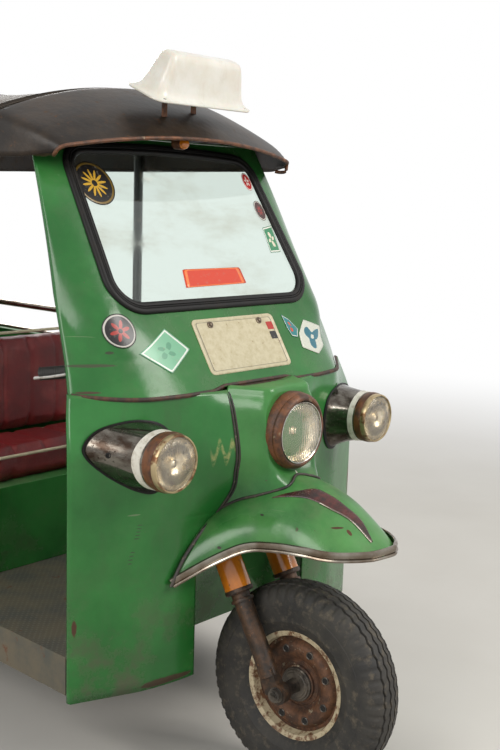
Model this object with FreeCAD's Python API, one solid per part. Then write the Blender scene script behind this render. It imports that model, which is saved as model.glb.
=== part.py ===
import FreeCAD, Part
import math
import os
from FreeCAD import Vector as V

os.makedirs("parts", exist_ok=True)

# Three-wheeled passenger taxi. Millimetres, +Z up, front towards -Y, the vehicle's left towards +X.
# Stations along Y are counted from the front axle; the finished shapes move so that Y 0 is mid length.

# Wheels and tyres
tyre_radius = 259.0
tyre_width = 128.0
tyre_shoulder_radius = 247.0
tyre_shoulder_half = 47.0
bead_radius = 127.0
flange_radius = 138.0
rim_width = 90.0
rim_wall = 4.0
disc_offset = 12.0
hub_radius = 46.0
hub_half = 40.0
vent_count = 8
vent_radius = 7.5
vent_circle = 92.0
wheelbase = 2080.0
rear_wheel_inset = 75.0

# Steering head and front fork
fork_rake = 30.0
fork_lead = 10.0
fork_offset = 30.0
leg_spread = 105.0
leg_radius = 24.0
stanchion_radius = 18.0
leg_bottom = 40.0
leg_top = 285.0
lug_half = 14.0
cup_radius = 35.0
cup_bore = 25.0
cup_bottom = 257.0
crown_bottom = 385.0
crown_height = 24.0
crown_half = 129.0
crown_reach = 26.0
crown_corner = 30.0
head_bottom = 411.0
head_top = 600.0
head_radius = 28.0
strut_radius = 14.0
stem_radius = 20.0
stem_top = 838.0
turning_gap = 0.05
axle_radius = 10.0
steer_rest = 6.0
bar_radius = 11.0
grip_radius = 16.0

# Sheet metal
sheet = 4.0
seat_gap = 0.3
dash_half = 440.0
gauge_radius = 46.0
pedal_y = 520.0
pedal_reach = 90.0
pedal_rise = 110.0

# Front apron, nose and mudguard
apron_y = 181.0
apron_half = 528.0
apron_edge_y = 280.0
apron_flange = 25.0
crease_x = 350.0
crease_y = 200.0
flat_x = 250.0
apron_bottom = 285.0
belt_z = 990.0
arch_half = 208.0
arch_spring_z = 600.0
arch_top_z = 700.0
well_back_y = 320.0
well_bottom_z = 330.0

# Windscreen panel
screen_rake = 32.3
screen_belt_y = 183.0
screen_top_z = 1604.0
screen_crease_top = 330.0
screen_edge_top = 385.0
screen_crease_back = 8.0
screen_edge_back = 60.0
header_back_y = 638.0
glass_bottom_z = 1199.0
glass_top_z = 1562.0
glass_half_bottom = 342.0
glass_half_top = 326.0
glass_corner = 62.0
glass_thickness = 5.0
seal_lip = 24.0
seal_bite = 6.0
seal_height = 6.0

# Lamps and plate
headlamp_z = 897.0
headlamp_y = 35.0
headlamp_radius = 97.0
headlamp_lens_radius = 75.0
headlamp_back_y = 140.0
side_lamp_x = 385.0
side_lamp_y = 78.0
side_lamp_z = 874.0
side_lamp_radius = 65.0
side_ring_radius = 74.0
plate_width = 305.0
plate_height = 152.0
plate_x = 12.0
plate_z = 1093.0
plate_thickness = 2.0

# Frame, floor and rear body
rail_x = 260.0
rail_width = 40.0
rail_bottom = 330.0
floor_z = 390.0
rail_overhang = 560.0
sill_depth = 90.0
sill_inset = 40.0
bulkhead_share = 31 / 52
entry_share = 41 / 52
body_half = 640.0
body_overhang = 520.0
body_top_z = 900.0
top_flange = 46.0
entry_flange = 30.0
arch_radius = 300.0
flare_reach = 25.0
flare_width = 34.0
housing_depth = 152.0
housing_top_z = 580.0
housing_half = 320.0
driver_share = 43 / 104
driver_inset = 120.0
driver_top_z = 640.0
partition_top_z = 810.0
driver_cushion_half = 330.0
driver_cushion_height = 100.0
driver_back_half = 300.0
driver_back_depth = 88.0
driver_back_top_z = 1040.0
bench_share = 21 / 26
bench_overhang = 226.0
seat_back_top_z = 1120.0
cushion_height = 110.0
bench_back_depth = 94.0
engine_half = 170.0
engine_bottom = 235.0
engine_top = 600.0
bumper_radius = 24.0
bumper_z = 360.0
bumper_inset = 40.0
bumper_bend_inset = 120.0
bumper_return = 60.0
tail_lamp_inset = 110.0
tail_lamp_z = 710.0
tail_lamp_half = 50.0
tail_lamp_rise = 70.0
tail_lamp_depth = 34.0
side_rail_setback = 28.0
side_rail_overhang = 420.0
side_rail_inset = 24.0
side_rail_rise = 105.0
side_rail_radius = 12.5
exhaust_x = 380.0
exhaust_z = 285.0
exhaust_back_gap = 390.0
exhaust_tip_inset = 50.0
exhaust_radius = 18.0
muffler_radius = 52.0
muffler_setback = 10.0
muffler_back_gap = 500.0

# Stations along the vehicle that follow the wheelbase
rail_end_y = wheelbase + rail_overhang
body_rear_y = wheelbase + body_overhang
driver_front_y = wheelbase * driver_share
bulkhead_y = wheelbase * bulkhead_share
entry_rear_y = wheelbase * entry_share
passenger_front_y = wheelbase * bench_share
passenger_back_y = wheelbase + bench_overhang
side_rail_front_y = entry_rear_y + side_rail_setback
side_rail_back_y = wheelbase + side_rail_overhang
exhaust_back_y = wheelbase - exhaust_back_gap
muffler_front_y = bulkhead_y + muffler_setback
muffler_back_y = wheelbase - muffler_back_gap

# Roof
roof_front_y = 640.0
roof_overhang = 390.0
roof_rear_y = wheelbase + roof_overhang
bow_radius = 10.0
bow_pad = 12.0
rail_drop = 5.0
post_radius = 16.0
header_leg_x = 360.0
header_leg_top = 1672.0
canopy_wall = 4.0
post_inset = 22.0
roof_rows = [
    # y, bottom half width, bottom z, shoulder half width, shoulder z, crown z
    (roof_front_y - 2 * bow_pad, 483, 1541, 468, 1650, 1735),
    (roof_front_y, 483, 1541, 468, 1650, 1735),
    (bulkhead_y - bow_pad, body_half - 60, 1540, body_half - 75, 1642, 1745),
    (bulkhead_y + bow_pad, body_half - 60, 1540, body_half - 75, 1642, 1745),
    (roof_rear_y - 2 * bow_pad, body_half - 38, 1540, body_half - 53, 1642, 1745),
    (roof_rear_y, body_half - 38, 1540, body_half - 53, 1642, 1745),
]

# Roof sign
sign_y = 446.0
sign_z = 1712.0
sign_pitch = 23.0
sign_half = 182.0
sign_half_depth = 54.0
sign_top_half = 126.0
sign_top_depth = 22.0
sign_height = 113.0
sign_flange = 7.0

# Rear axle and springs
axle_tube_radius = 35.0
diff_radius = 100.0
diff_half = 85.0
leaf_width = 38.0
leaf_thickness = 7.0
leaf_count = 3
leaf_span = 780.0
leaf_drop = 86.0
eye_radius = 16.0
eye_pin_radius = 7.0
drum_radius = 98.0

front_axle_z = tyre_radius
rear_track = 2 * (body_half - rear_wheel_inset)
flare_half = body_half + flare_reach
housing_x = body_half - housing_depth
driver_half = body_half - driver_inset
bumper_half = body_half - bumper_inset
bumper_straight = body_half - bumper_bend_inset
tail_lamp_x = body_half - tail_lamp_inset
exhaust_tip_x = body_half - exhaust_tip_inset
middle_post_x = roof_rows[2][3] - post_inset
rear_post_x = roof_rows[4][3] - post_inset
rear_post_y = passenger_back_y + sheet
rake = math.radians(fork_rake)
tilt = math.radians(screen_rake)


# Shapes that many pieces share

def block(x0, x1, y0, y1, z0, z1):
    return Part.makeBox(x1 - x0, y1 - y0, z1 - z0, V(x0, y0, z0))


def rod(a, b, radius):
    return Part.makeCylinder(radius, (b - a).Length, a, b - a)


def pipe(a, b, outer, inner):
    return rod(a, b, outer).cut(rod(a, b, inner))


def mirrored(shape):
    return shape.mirror(V(0, 0, 0), V(1, 0, 0))


def pair(shape):
    return Part.makeCompound([shape, mirrored(shape)])


def outline(points):
    return Part.makePolygon(points + [points[0]])


def prism(points, along):
    return Part.Face(outline(points)).extrude(along)


def fused(shapes):
    whole = shapes[0]
    if len(shapes) > 1:
        whole = shapes[0].multiFuse(shapes[1:])
    return whole.removeSplitter()


def turned(profile, centre, axis):
    """Solid of revolution: profile rows are (distance along the axis, radius)."""
    points = [V(s, 0, r) for s, r in profile]
    solid = Part.Face(outline(points)).revolve(V(0, 0, 0), V(1, 0, 0), 360)
    solid.Placement = FreeCAD.Placement(centre, FreeCAD.Rotation(V(1, 0, 0), axis))
    return solid


def bent_bar(points, bend, radius):
    """Round bar along straight runs joined by tangent arcs of radius bend."""
    edges = []
    start = points[0]
    for before, corner, after in zip(points, points[1:], points[2:]):
        towards = (before - corner).normalize()
        onwards = (after - corner).normalize()
        half = towards.getAngle(onwards) / 2
        cut = bend / math.tan(half)
        first = corner + towards * cut
        last = corner + onwards * cut
        inwards = (towards + onwards).normalize()
        middle = corner + inwards * (bend / math.sin(half) - bend)
        edges.append(Part.LineSegment(start, first).toShape())
        edges.append(Part.Arc(first, middle, last).toShape())
        start = last
    edges.append(Part.LineSegment(start, points[-1]).toShape())
    path = Part.Wire(edges)
    direction = points[1] - points[0]
    circle = Part.Wire(Part.Circle(points[0], direction, radius).toShape())
    return path.makePipeShell([circle], True, True)


def arch_wire(ends, crown, wall):
    """Thin closed arch: an arc through the ends and the crown, and one nearer its centre by the wall."""
    left, right = ends
    arc = Part.Arc(left, crown, right).toShape()
    centre = arc.Curve.Center
    shrink = 1 - wall / arc.Curve.Radius
    inner = [centre + (p - centre) * shrink for p in (left, crown, right)]
    edges = [
        arc,
        Part.LineSegment(right, inner[2]).toShape(),
        Part.Arc(inner[2], inner[1], inner[0]).toShape(),
        Part.LineSegment(inner[0], left).toShape(),
    ]
    return Part.Wire(edges)


def full_arch_wire(ends, crown, floor):
    """Closed section under an arch, down to the height floor."""
    left, right = ends
    low_left = V(left.x, left.y, floor)
    low_right = V(right.x, right.y, floor)
    edges = [
        Part.Arc(left, crown, right).toShape(),
        Part.LineSegment(right, low_right).toShape(),
        Part.LineSegment(low_right, low_left).toShape(),
        Part.LineSegment(low_left, left).toShape(),
    ]
    return Part.Wire(edges)


nodes = {}


# Steering axis and places along the fork

def leg_point(side, s):
    """Point on a fork leg's centre line, s millimetres up from the front axle's level."""
    y = fork_lead / math.cos(rake) + s * math.sin(rake)
    return V(side * leg_spread, y, front_axle_z + s * math.cos(rake))


def head_point(s):
    """Point on the steering axis, abreast of leg_point(side, s)."""
    back = V(0, math.cos(rake), -math.sin(rake)) * fork_offset
    return V(0, leg_point(0, s).y, leg_point(0, s).z) + back


head_axis = V(0, math.sin(rake), math.cos(rake))


def steered(shape):
    shape = shape.copy()
    shape.rotate(head_point(0), head_axis, steer_rest)
    return shape


# Wheels

def tyre(centre, axis):
    half = tyre_width / 2
    seat = rim_width / 2 - rim_wall
    profile = [
        (-seat, bead_radius),
        (-seat, flange_radius + 4),
        (-half + 6, flange_radius + 24),
        (-half, (tyre_radius + bead_radius) / 2 + 8),
        (-half + 4, tyre_shoulder_radius - 16),
        (-tyre_shoulder_half, tyre_shoulder_radius),
        (-tyre_shoulder_half / 2, tyre_radius - 2),
        (0, tyre_radius),
    ]
    other = [(-s, r) for s, r in reversed(profile[:-1])]
    return turned(profile + other, centre, axis)


def rim(centre, axis, drum_depth):
    """Pressed disc wheel; drum_depth is how far a brake drum stands out behind the disc."""
    half = rim_width / 2
    barrel = [
        (-half, flange_radius),
        (-half + rim_wall, flange_radius),
        (-half + rim_wall, bead_radius),
        (half - rim_wall, bead_radius),
        (half - rim_wall, flange_radius),
        (half, flange_radius),
        (half, bead_radius - rim_wall),
        (disc_offset + 6, bead_radius - rim_wall),
        (disc_offset + 22, 104.0),
        (disc_offset + 22, 80.0),
        (disc_offset + 8, 66.0),
        (disc_offset + 8, hub_radius),
        (hub_half - 10, hub_radius),
        (hub_half - 10, 34.0),
        (hub_half, 34.0),
        (hub_half, axle_radius + turning_gap),
        (-hub_half, axle_radius + turning_gap),
        (-hub_half, hub_radius),
        (disc_offset + 2, hub_radius),
        (disc_offset + 2, 69.0),
        (disc_offset + 16, 83.0),
        (disc_offset + 16, 101.0),
        (disc_offset, bead_radius - rim_wall),
        (-half, bead_radius - rim_wall),
    ]
    solid = turned(barrel, centre, axis)
    turn = FreeCAD.Rotation(V(1, 0, 0), axis)
    for i in range(vent_count):
        angle = 2 * math.pi * i / vent_count
        offset = V(0, math.cos(angle) * vent_circle, math.sin(angle) * vent_circle)
        start = centre + turn.multVec(offset + V(disc_offset + 10, 0, 0))
        hole = Part.makeCylinder(vent_radius, 24, start, axis)
        solid = solid.cut(hole)
    if drum_depth:
        drum = [
            (-drum_depth, drum_radius),
            (disc_offset + 1, drum_radius),
            (disc_offset + 1, hub_radius - 4),
            (disc_offset - 8, hub_radius - 4),
            (disc_offset - 8, drum_radius - 8),
            (-drum_depth, drum_radius - 8),
        ]
        solid = fused([solid, turned(drum, centre, axis)])
    return solid


front_centre = V(0, 0, front_axle_z)
front_rim = steered(rim(front_centre, V(-1, 0, 0), 0))
front_tyre = steered(tyre(front_centre, V(-1, 0, 0)))
nodes["front_rim"] = front_rim
nodes["front_tyre"] = front_tyre
rear_drum_depth = rear_track / 2 - housing_x + 3
for side, name in ((1, "left"), (-1, "right")):
    centre = V(side * rear_track / 2, wheelbase, front_axle_z)
    nodes["rear_rim_" + name] = rim(centre, V(side, 0, 0), rear_drum_depth)
    nodes["rear_tyre_" + name] = tyre(centre, V(side, 0, 0))

# Front fork: legs, crown, stem, and the lugs that hold the axle
fork = []
for side in (-1, 1):
    fork.append(rod(leg_point(side, leg_bottom), leg_point(side, leg_top), leg_radius))
    fork.append(rod(leg_point(side, leg_top), leg_point(side, crown_bottom), stanchion_radius))
    lug_centre = V(side * leg_spread, 0, front_axle_z)
    fork.append(rod(lug_centre - V(lug_half, 0, 0), lug_centre + V(lug_half, 0, 0), leg_radius + 2))
    arm = block(-lug_half, lug_half, -leg_radius + 2, leg_radius - 2, 0, leg_bottom + 20)
    arm.Placement = FreeCAD.Placement(leg_point(side, 0), FreeCAD.Rotation(V(1, 0, 0), -fork_rake))
    fork.append(arm)
crown_mid = head_point(crown_bottom)
crown = block(-crown_half, crown_half, -crown_reach - fork_offset, crown_reach, 0, crown_height)
upright_edges = [e for e in crown.Edges if abs(e.tangentAt(e.FirstParameter).z) > 0.9]
crown = crown.makeFillet(crown_corner, upright_edges)
crown.Placement = FreeCAD.Placement(crown_mid, FreeCAD.Rotation(V(1, 0, 0), -fork_rake))
fork.append(crown)
fork.append(rod(head_point(crown_bottom + 4), head_point(stem_top - 3), stem_radius))
axle_bore = rod(V(-200, 0, front_axle_z), V(200, 0, front_axle_z), axle_radius)
nodes["front_fork"] = steered(fused(fork).cut(axle_bore))

cups = []
for side in (-1, 1):
    cups.append(pipe(leg_point(side, cup_bottom), leg_point(side, crown_bottom), cup_radius, cup_bore))
nodes["fork_cups"] = steered(Part.makeCompound(cups))

# Front axle with its spacers and the brake plate on the left
axle = rod(V(-leg_spread - 30, 0, front_axle_z), V(leg_spread + 30, 0, front_axle_z), axle_radius)
spacers = []
for side in (-1, 1):
    inner = V(side * (hub_half + 1), 0, front_axle_z)
    outer = V(side * (leg_spread - lug_half), 0, front_axle_z)
    spacers.append(rod(inner, outer, axle_radius + 8))
    nut = V(side * (leg_spread + lug_half), 0, front_axle_z)
    spacers.append(rod(nut, nut + V(side * 12, 0, 0), axle_radius + 6))
nodes["front_axle"] = steered(fused([axle] + spacers))

# Handlebar on the stem, with its clamp and grips
bar_mid = head_point(stem_top)
bar_rows = [
    # across, back, up
    (330, 190, 14),
    (236, 42, 40),
    (92, 0, 20),
]
right_half = [bar_mid + V(-x, y, z) for x, y, z in bar_rows]
left_half = [bar_mid + V(x, y, z) for x, y, z in reversed(bar_rows)]
bar_points = right_half + left_half
bar = bent_bar(bar_points, 45, bar_radius)
clamp = rod(bar_mid - head_axis * 3, bar_mid + head_axis * 34, stem_radius + 10)
grips = []
for end, inner in ((bar_points[0], bar_points[1]), (bar_points[-1], bar_points[-2])):
    along = (inner - end).normalize()
    grips.append(rod(end - along * 4, end + along * 116, grip_radius))
nodes["handlebar"] = steered(fused([bar, clamp] + grips))

# Front end: stations up the seam between apron and nose
nose_rows = [
    # z, seam x, seam y, shoulder x, shoulder y, front y
    (674, 156, 181, 142, 150, 10),
    (752, 133, 140, 110, 92, 2),
    (805, 133, 128, 97, 74, 18),
    (857, 133, 124, 98, 72, 32),
    (950, 133, 144, 98, 82, 40),
    (990, 130, 166, 94, 104, 46),
]


def wing_section(z, seam_x, seam_y):
    """Horizontal slice of the apron's left half, from the seam out to its folded edge."""
    return outline([
        V(seam_x, seam_y, z),
        V(flat_x, apron_y, z),
        V(crease_x, crease_y, z),
        V(apron_half, apron_edge_y, z),
        V(apron_half, apron_edge_y + apron_flange, z),
        V(apron_half - sheet, apron_edge_y + apron_flange, z),
        V(apron_half - sheet, apron_edge_y + sheet, z),
        V(crease_x, crease_y + sheet, z),
        V(flat_x, apron_y + sheet, z),
        V(seam_x, seam_y + sheet, z),
    ])


def nose_section(z, seam_x, seam_y, shoulder_x, shoulder_y, front_y, inset):
    """Horizontal slice of the nose: flanks from the seam to the shoulder, and an arc across the front."""
    back_left = V(-seam_x + inset, seam_y + inset, z)
    back_right = V(seam_x - inset, seam_y + inset, z)
    left = V(-shoulder_x + inset, shoulder_y + inset / 2, z)
    right = V(shoulder_x - inset, shoulder_y + inset / 2, z)
    front = V(0, front_y + inset, z)
    edges = [
        Part.LineSegment(back_left, left).toShape(),
        Part.Arc(left, front, right).toShape(),
        Part.LineSegment(right, back_right).toShape(),
        Part.LineSegment(back_right, back_left).toShape(),
    ]
    return Part.Wire(edges)


mudguard_rows = [
    # y, half width, edge z, crest z
    (apron_y, 290, 540, 728),
    (130, 226, 586, 766),
    (61, 172, 630, 784),
    (-11, 150, 645, 779),
    (-84, 135, 650, 756),
    (-155, 114, 649, 712),
    (-212, 66, 652, 672),
    (-237, 18, 654, 659),
]


def mudguard_ends(row):
    y, half, edge, crest = row
    return (V(-half, y, edge), V(half, y, edge)), V(0, y, crest)


mudguard_wires = []
mudguard_full_wires = []
for row in mudguard_rows:
    ends, crown_at = mudguard_ends(row)
    mudguard_wires.append(arch_wire(ends, crown_at, sheet - 1))
    mudguard_full_wires.append(full_arch_wire(ends, crown_at, 500))
mudguard = Part.makeLoft(mudguard_wires, True, False)
mudguard_full = Part.makeLoft(mudguard_full_wires, True, False)
nodes["front_mudguard"] = mudguard


def wheel_arch(half, top_z, low_z):
    """Upright section of the front wheel's arch, round at the top."""
    left = V(-half, 0, arch_spring_z)
    right = V(half, 0, arch_spring_z)
    edges = [
        Part.LineSegment(V(-half, 0, low_z), left).toShape(),
        Part.Arc(left, V(0, 0, top_z), right).toShape(),
        Part.LineSegment(right, V(half, 0, low_z)).toShape(),
        Part.LineSegment(V(half, 0, low_z), V(-half, 0, low_z)).toShape(),
    ]
    return Part.Face(Part.Wire(edges))


arch_cut = wheel_arch(arch_half, arch_top_z, 0).extrude(V(0, well_back_y, 0))

# Apron: two folded wings, a centre plate behind the nose, and the wheel well
wing_rows = [(apron_bottom, nose_rows[0][1], nose_rows[0][2])] + [row[:3] for row in nose_rows]
wing = Part.makeLoft([wing_section(*row) for row in wing_rows], True, True)
plate_back = apron_y + 2 * sheet
centre_plate = block(-flat_x - 20, flat_x + 20, apron_y + sheet, plate_back, arch_top_z - 5, belt_z - 5)
well_face = wheel_arch(arch_half + sheet, arch_top_z + sheet, well_bottom_z)
well = well_face.extrude(V(0, well_back_y - apron_y, 0))
well.translate(V(0, apron_y + sheet, 0))
head_hole = rod(head_point(head_bottom - 60), head_point(head_top), head_radius + seat_gap)
apron = fused([wing, mirrored(wing), centre_plate, well])
for opening in (arch_cut, head_hole, mudguard_full, mudguard):
    apron = apron.cut(opening)
nodes["front_apron"] = apron

# Nose cowl and the headlamp housing let into it
nose_outer = Part.makeLoft([nose_section(*row, 0) for row in nose_rows], True, True)
nose_inner = Part.makeLoft([nose_section(*row, sheet) for row in nose_rows], True, True)
nose_inner.translate(V(0, 0, -sheet))
drum_cut = rod(V(0, headlamp_y - 60, headlamp_z), V(0, headlamp_back_y, headlamp_z), headlamp_radius)
nodes["nose_cowl"] = nose_outer.cut(nose_inner).cut(drum_cut).cut(mudguard_full).cut(mudguard)

bezel_profile = [
    # distance behind the lens, radius
    (0, headlamp_lens_radius),
    (4, headlamp_radius - 10),
    (16, headlamp_radius),
    (headlamp_back_y - headlamp_y, headlamp_radius),
    (headlamp_back_y - headlamp_y, headlamp_radius - 8),
    (24, headlamp_radius - 8),
    (14, headlamp_lens_radius),
]
nodes["headlamp_housing"] = turned(bezel_profile, V(0, headlamp_y, headlamp_z), V(0, 1, 0))
headlamp_lens_profile = [
    (-6, 0),
    (-3, headlamp_lens_radius * 0.6),
    (3, headlamp_lens_radius - 0.3),
    (12, headlamp_lens_radius - 0.3),
    (45, headlamp_lens_radius * 0.5),
    (52, 0),
]
nodes["headlamp_lens"] = turned(headlamp_lens_profile, V(0, headlamp_y, headlamp_z), V(0, 1, 0))

# Mudguard trim: edge bead round the lower edge, and the strip on the crest
trim_path = [V(-half, y, edge) for y, half, edge, crest in mudguard_rows]
trim_path += [V(half, y, edge) for y, half, edge, crest in reversed(mudguard_rows)]
trim_wires = []
for i, point in enumerate(trim_path):
    before = trim_path[max(i - 1, 0)]
    after = trim_path[min(i + 1, len(trim_path) - 1)]
    along = after - before
    outwards = V(-along.y, along.x, 0).normalize() * -1
    corners = [(0.0, -3.0), (5.0, -3.0), (4.0, 15.0), (-8.0, 15.0)]
    trim_wires.append(outline([point + outwards * a + V(0, 0, b) for a, b in corners]))
edge_trim = Part.makeLoft(trim_wires, True, True)
crest_wires = []
for y, half, edge, crest in mudguard_rows[3:]:
    low_left = V(-7, y, crest - 4)
    low_right = V(7, y, crest - 4)
    crest_wires.append(outline([low_left, low_right, V(3, y, crest + 4), V(-3, y, crest + 4)]))
crest_strip = Part.makeLoft(crest_wires, True, True)
trim = fused([edge_trim, crest_strip])
nodes["mudguard_trim"] = trim.cut(mudguard_full).cut(mudguard)


# Windscreen panel, its window, seal and glass

def screen_y(z):
    """Y of the windscreen panel's outer face at height z."""
    return screen_belt_y + (z - belt_z) * math.tan(tilt)


def panel_section(z, crease, crease_back, edge, edge_back, thick):
    y = screen_y(z)
    front = [V(-edge, y + edge_back, z), V(-crease, y + crease_back, z), V(-crease * 0.7, y, z)]
    front += [V(-p.x, p.y, z) for p in reversed(front)]
    back = [V(p.x, p.y + thick, z) for p in reversed(front)]
    back[0] = V(edge - thick, y + edge_back + thick, z)
    back[-1] = V(-edge + thick, y + edge_back + thick, z)
    return outline(front + back)


panel_thick = sheet / math.cos(tilt)
belt_section = panel_section(belt_z, crease_x, crease_y - screen_belt_y, apron_half,
                             apron_edge_y - screen_belt_y, panel_thick)
top_section = panel_section(screen_top_z, screen_crease_top, screen_crease_back,
                            screen_edge_top, screen_edge_back, panel_thick)
panel = Part.makeLoft([belt_section, top_section], True, True)
top_y = screen_y(screen_top_z)
header_plate = prism([
    V(-screen_crease_top, top_y + 1, screen_top_z),
    V(screen_crease_top, top_y + 1, screen_top_z),
    V(screen_edge_top, top_y + screen_edge_back, screen_top_z),
    V(screen_edge_top, header_back_y, screen_top_z),
    V(-screen_edge_top, header_back_y, screen_top_z),
    V(-screen_edge_top, top_y + screen_edge_back, screen_top_z),
], V(0, 0, sheet))
screen_normal = V(0, -math.cos(tilt), math.sin(tilt))
screen_up = V(0, math.sin(tilt), math.cos(tilt))
screen_origin = V(0, screen_y(glass_bottom_z), glass_bottom_z)
glass_rise = (glass_top_z - glass_bottom_z) / math.cos(tilt)


def window_prism(grow, front, back):
    """Rounded window outline grown by grow, from front to back millimetres along the panel's normal."""
    def at(x, u):
        return screen_origin + V(x, 0, 0) + screen_up * u + screen_normal * front
    low = glass_half_bottom + grow
    high = glass_half_top + grow
    c = glass_corner
    rise = glass_rise + grow
    base = -grow
    k = c * 0.293
    edges = [
        Part.LineSegment(at(-low + c, base), at(low - c, base)).toShape(),
        Part.Arc(at(low - c, base), at(low - k, base + k), at(low - 2, base + c)).toShape(),
        Part.LineSegment(at(low - 2, base + c), at(high, rise - c)).toShape(),
        Part.Arc(at(high, rise - c), at(high - k, rise - k), at(high - c, rise)).toShape(),
        Part.Arc(at(high - c, rise), at(0, rise + 10), at(-high + c, rise)).toShape(),
        Part.Arc(at(-high + c, rise), at(-high + k, rise - k), at(-high, rise - c)).toShape(),
        Part.LineSegment(at(-high, rise - c), at(-low + 2, base + c)).toShape(),
        Part.Arc(at(-low + 2, base + c), at(-low + k, base + k), at(-low + c, base)).toShape(),
    ]
    return Part.Face(Part.Wire(edges)).extrude(screen_normal * (back - front))


window_cut = window_prism(8, 20, -30)
nodes["windscreen_panel"] = fused([panel, header_plate]).cut(window_cut)
seal_face = window_prism(seal_lip, seat_gap + seal_height, seat_gap).cut(window_prism(-seal_bite, 30, -30))
seal_core = window_prism(8 - seat_gap, seat_gap + 1, -8).cut(window_prism(0, 30, -30))
nodes["windscreen_seal"] = fused([seal_face, seal_core])
nodes["windscreen_glass"] = window_prism(-seat_gap, 0, -glass_thickness)

# Front plate, flat on the panel
plate_at = V(plate_x, screen_y(plate_z), plate_z) + screen_normal * seat_gap
half_w = V(plate_width / 2, 0, 0)
half_h = screen_up * (plate_height / 2)
plate_corners = [plate_at - half_w - half_h, plate_at + half_w - half_h,
                 plate_at + half_w + half_h, plate_at - half_w + half_h]
plate_solid = prism(plate_corners, screen_normal * plate_thickness)
short_edges = [e for e in plate_solid.Edges if e.Length < plate_thickness * 1.5]
nodes["front_plate"] = plate_solid.makeFillet(14, short_edges)

# Side lamp pods: rings facing ahead, bodies swept back into the apron
pod_rows = [
    # across and back from the lens centre, up, radius
    (0, 10, 0, side_ring_radius - 3),
    (8, 45, 1, side_ring_radius - 1),
    (34, 100, 6, 66),
    (72, 150, 14, 48),
    (104, 184, 20, 20),
]


def pod():
    wires = []
    for x, y, z, r in pod_rows:
        centre = V(side_lamp_x + x, side_lamp_y + y, side_lamp_z + z)
        wires.append(Part.Wire(Part.Circle(centre, V(0, 1, 0), r).toShape()))
    shell = Part.makeLoft(wires, True, False)
    ring_profile = [
        (-1, side_lamp_radius),
        (0, side_ring_radius - 4),
        (4, side_ring_radius),
        (12, side_ring_radius),
        (12, side_lamp_radius - 8),
        (8, side_lamp_radius - 8),
        (8, side_lamp_radius),
    ]
    ring = turned(ring_profile, V(side_lamp_x, side_lamp_y, side_lamp_z), V(0, 1, 0))
    behind = prism([
        V(0, apron_y, arch_top_z), V(flat_x, apron_y, arch_top_z), V(crease_x, crease_y, arch_top_z),
        V(apron_half, apron_edge_y, arch_top_z), V(apron_half + 100, apron_edge_y + 45, arch_top_z),
        V(apron_half, pedal_y, arch_top_z), V(0, pedal_y, arch_top_z),
    ], V(0, 0, belt_z))
    return fused([shell, ring]).cut(behind)


nodes["side_lamp_pods"] = pair(pod())
side_lens_profile = [
    (-9, 0),
    (-6, side_lamp_radius * 0.6),
    (-0.5, side_lamp_radius - seat_gap),
    (7.7, side_lamp_radius - seat_gap),
    (7.7, 0),
]
side_lens = turned(side_lens_profile, V(side_lamp_x, side_lamp_y, side_lamp_z), V(0, 1, 0))
nodes["side_lamp_lenses"] = pair(side_lens)

# Chassis: two rails, cross members, steering head, and spring hangers
rail_in = rail_x - rail_width / 2
rail_out = rail_x + rail_width / 2
chassis = []
for side in (-1, 1):
    lo, hi = sorted((side * rail_in, side * rail_out))
    chassis.append(block(lo, hi, well_back_y - 110, rail_end_y, rail_bottom, floor_z))
cross_rows = [well_back_y + 12, driver_front_y - 18, bulkhead_y - 42, entry_rear_y, body_rear_y - 60]
for y in cross_rows:
    chassis.append(block(-rail_in, rail_in, y, y + 40, rail_bottom, floor_z))
struts = []
for side in (-1, 1):
    strut_top = head_point(head_top - 30) + V(side * 10, strut_radius, 0)
    struts.append(rod(strut_top, V(side * rail_in, well_back_y + 36, floor_z - strut_radius), strut_radius))
chassis += struts
chassis.append(rod(head_point(head_bottom), head_point(head_top), head_radius))
spring_front = wheelbase - leaf_span / 2
spring_rear = wheelbase + leaf_span / 2
leaf_bottom = front_axle_z - axle_tube_radius - 18
eye_z = leaf_bottom + leaf_drop
for side in (-1, 1):
    for y in (spring_front, spring_rear):
        for x in (rail_in - 5, rail_out):
            lo, hi = sorted((side * x, side * (x + 5)))
            chassis.append(block(lo, hi, y - 24, y + 24, eye_z - 22, floor_z - 20))
        pin_end = V(side * (rail_out + 5), y, eye_z)
        chassis.append(rod(V(side * (rail_in - 5), y, eye_z), pin_end, eye_pin_radius))
head_bore = rod(head_point(head_bottom - 5), head_point(head_top + 5), stem_radius + turning_gap)
nodes["chassis_frame"] = fused(chassis).cut(head_bore)

# Floor with its sills
front_edge = apron_y + 2 * sheet + seat_gap
sill_rows = [
    # x, y along the left edge
    (apron_half - sheet - seat_gap, apron_edge_y + 10),
    (apron_half - sheet - seat_gap, driver_front_y),
    (body_half - sill_inset, bulkhead_y),
    (body_half - sheet - seat_gap, entry_rear_y),
]
arch_front_y = wheelbase - housing_half
arch_rear_y = wheelbase + housing_half
well_side = arch_half + sheet + seat_gap
floor_half = body_half - sheet - seat_gap
left_edge = [
    # x, y
    (well_side, well_back_y + sheet + seat_gap),
    (well_side, front_edge),
    (flat_x, front_edge),
    (crease_x, crease_y + 2 * sheet),
    *sill_rows,
    (floor_half, arch_front_y),
    (housing_x, arch_front_y),
    (housing_x, arch_rear_y),
    (floor_half, arch_rear_y),
    (floor_half, body_rear_y - sheet - seat_gap),
]
floor_points = [V(x, y, floor_z) for x, y in left_edge]
floor_points += [V(-x, y, floor_z) for x, y in reversed(left_edge)]
floor = prism(floor_points, V(0, 0, sheet))
sill_outer = [V(x, y, floor_z) for x, y in sill_rows]
sill_inner = [V(x - sheet, y, floor_z) for x, y in reversed(sill_rows)]
sill = prism(sill_outer + sill_inner, V(0, 0, -sill_depth))
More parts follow.
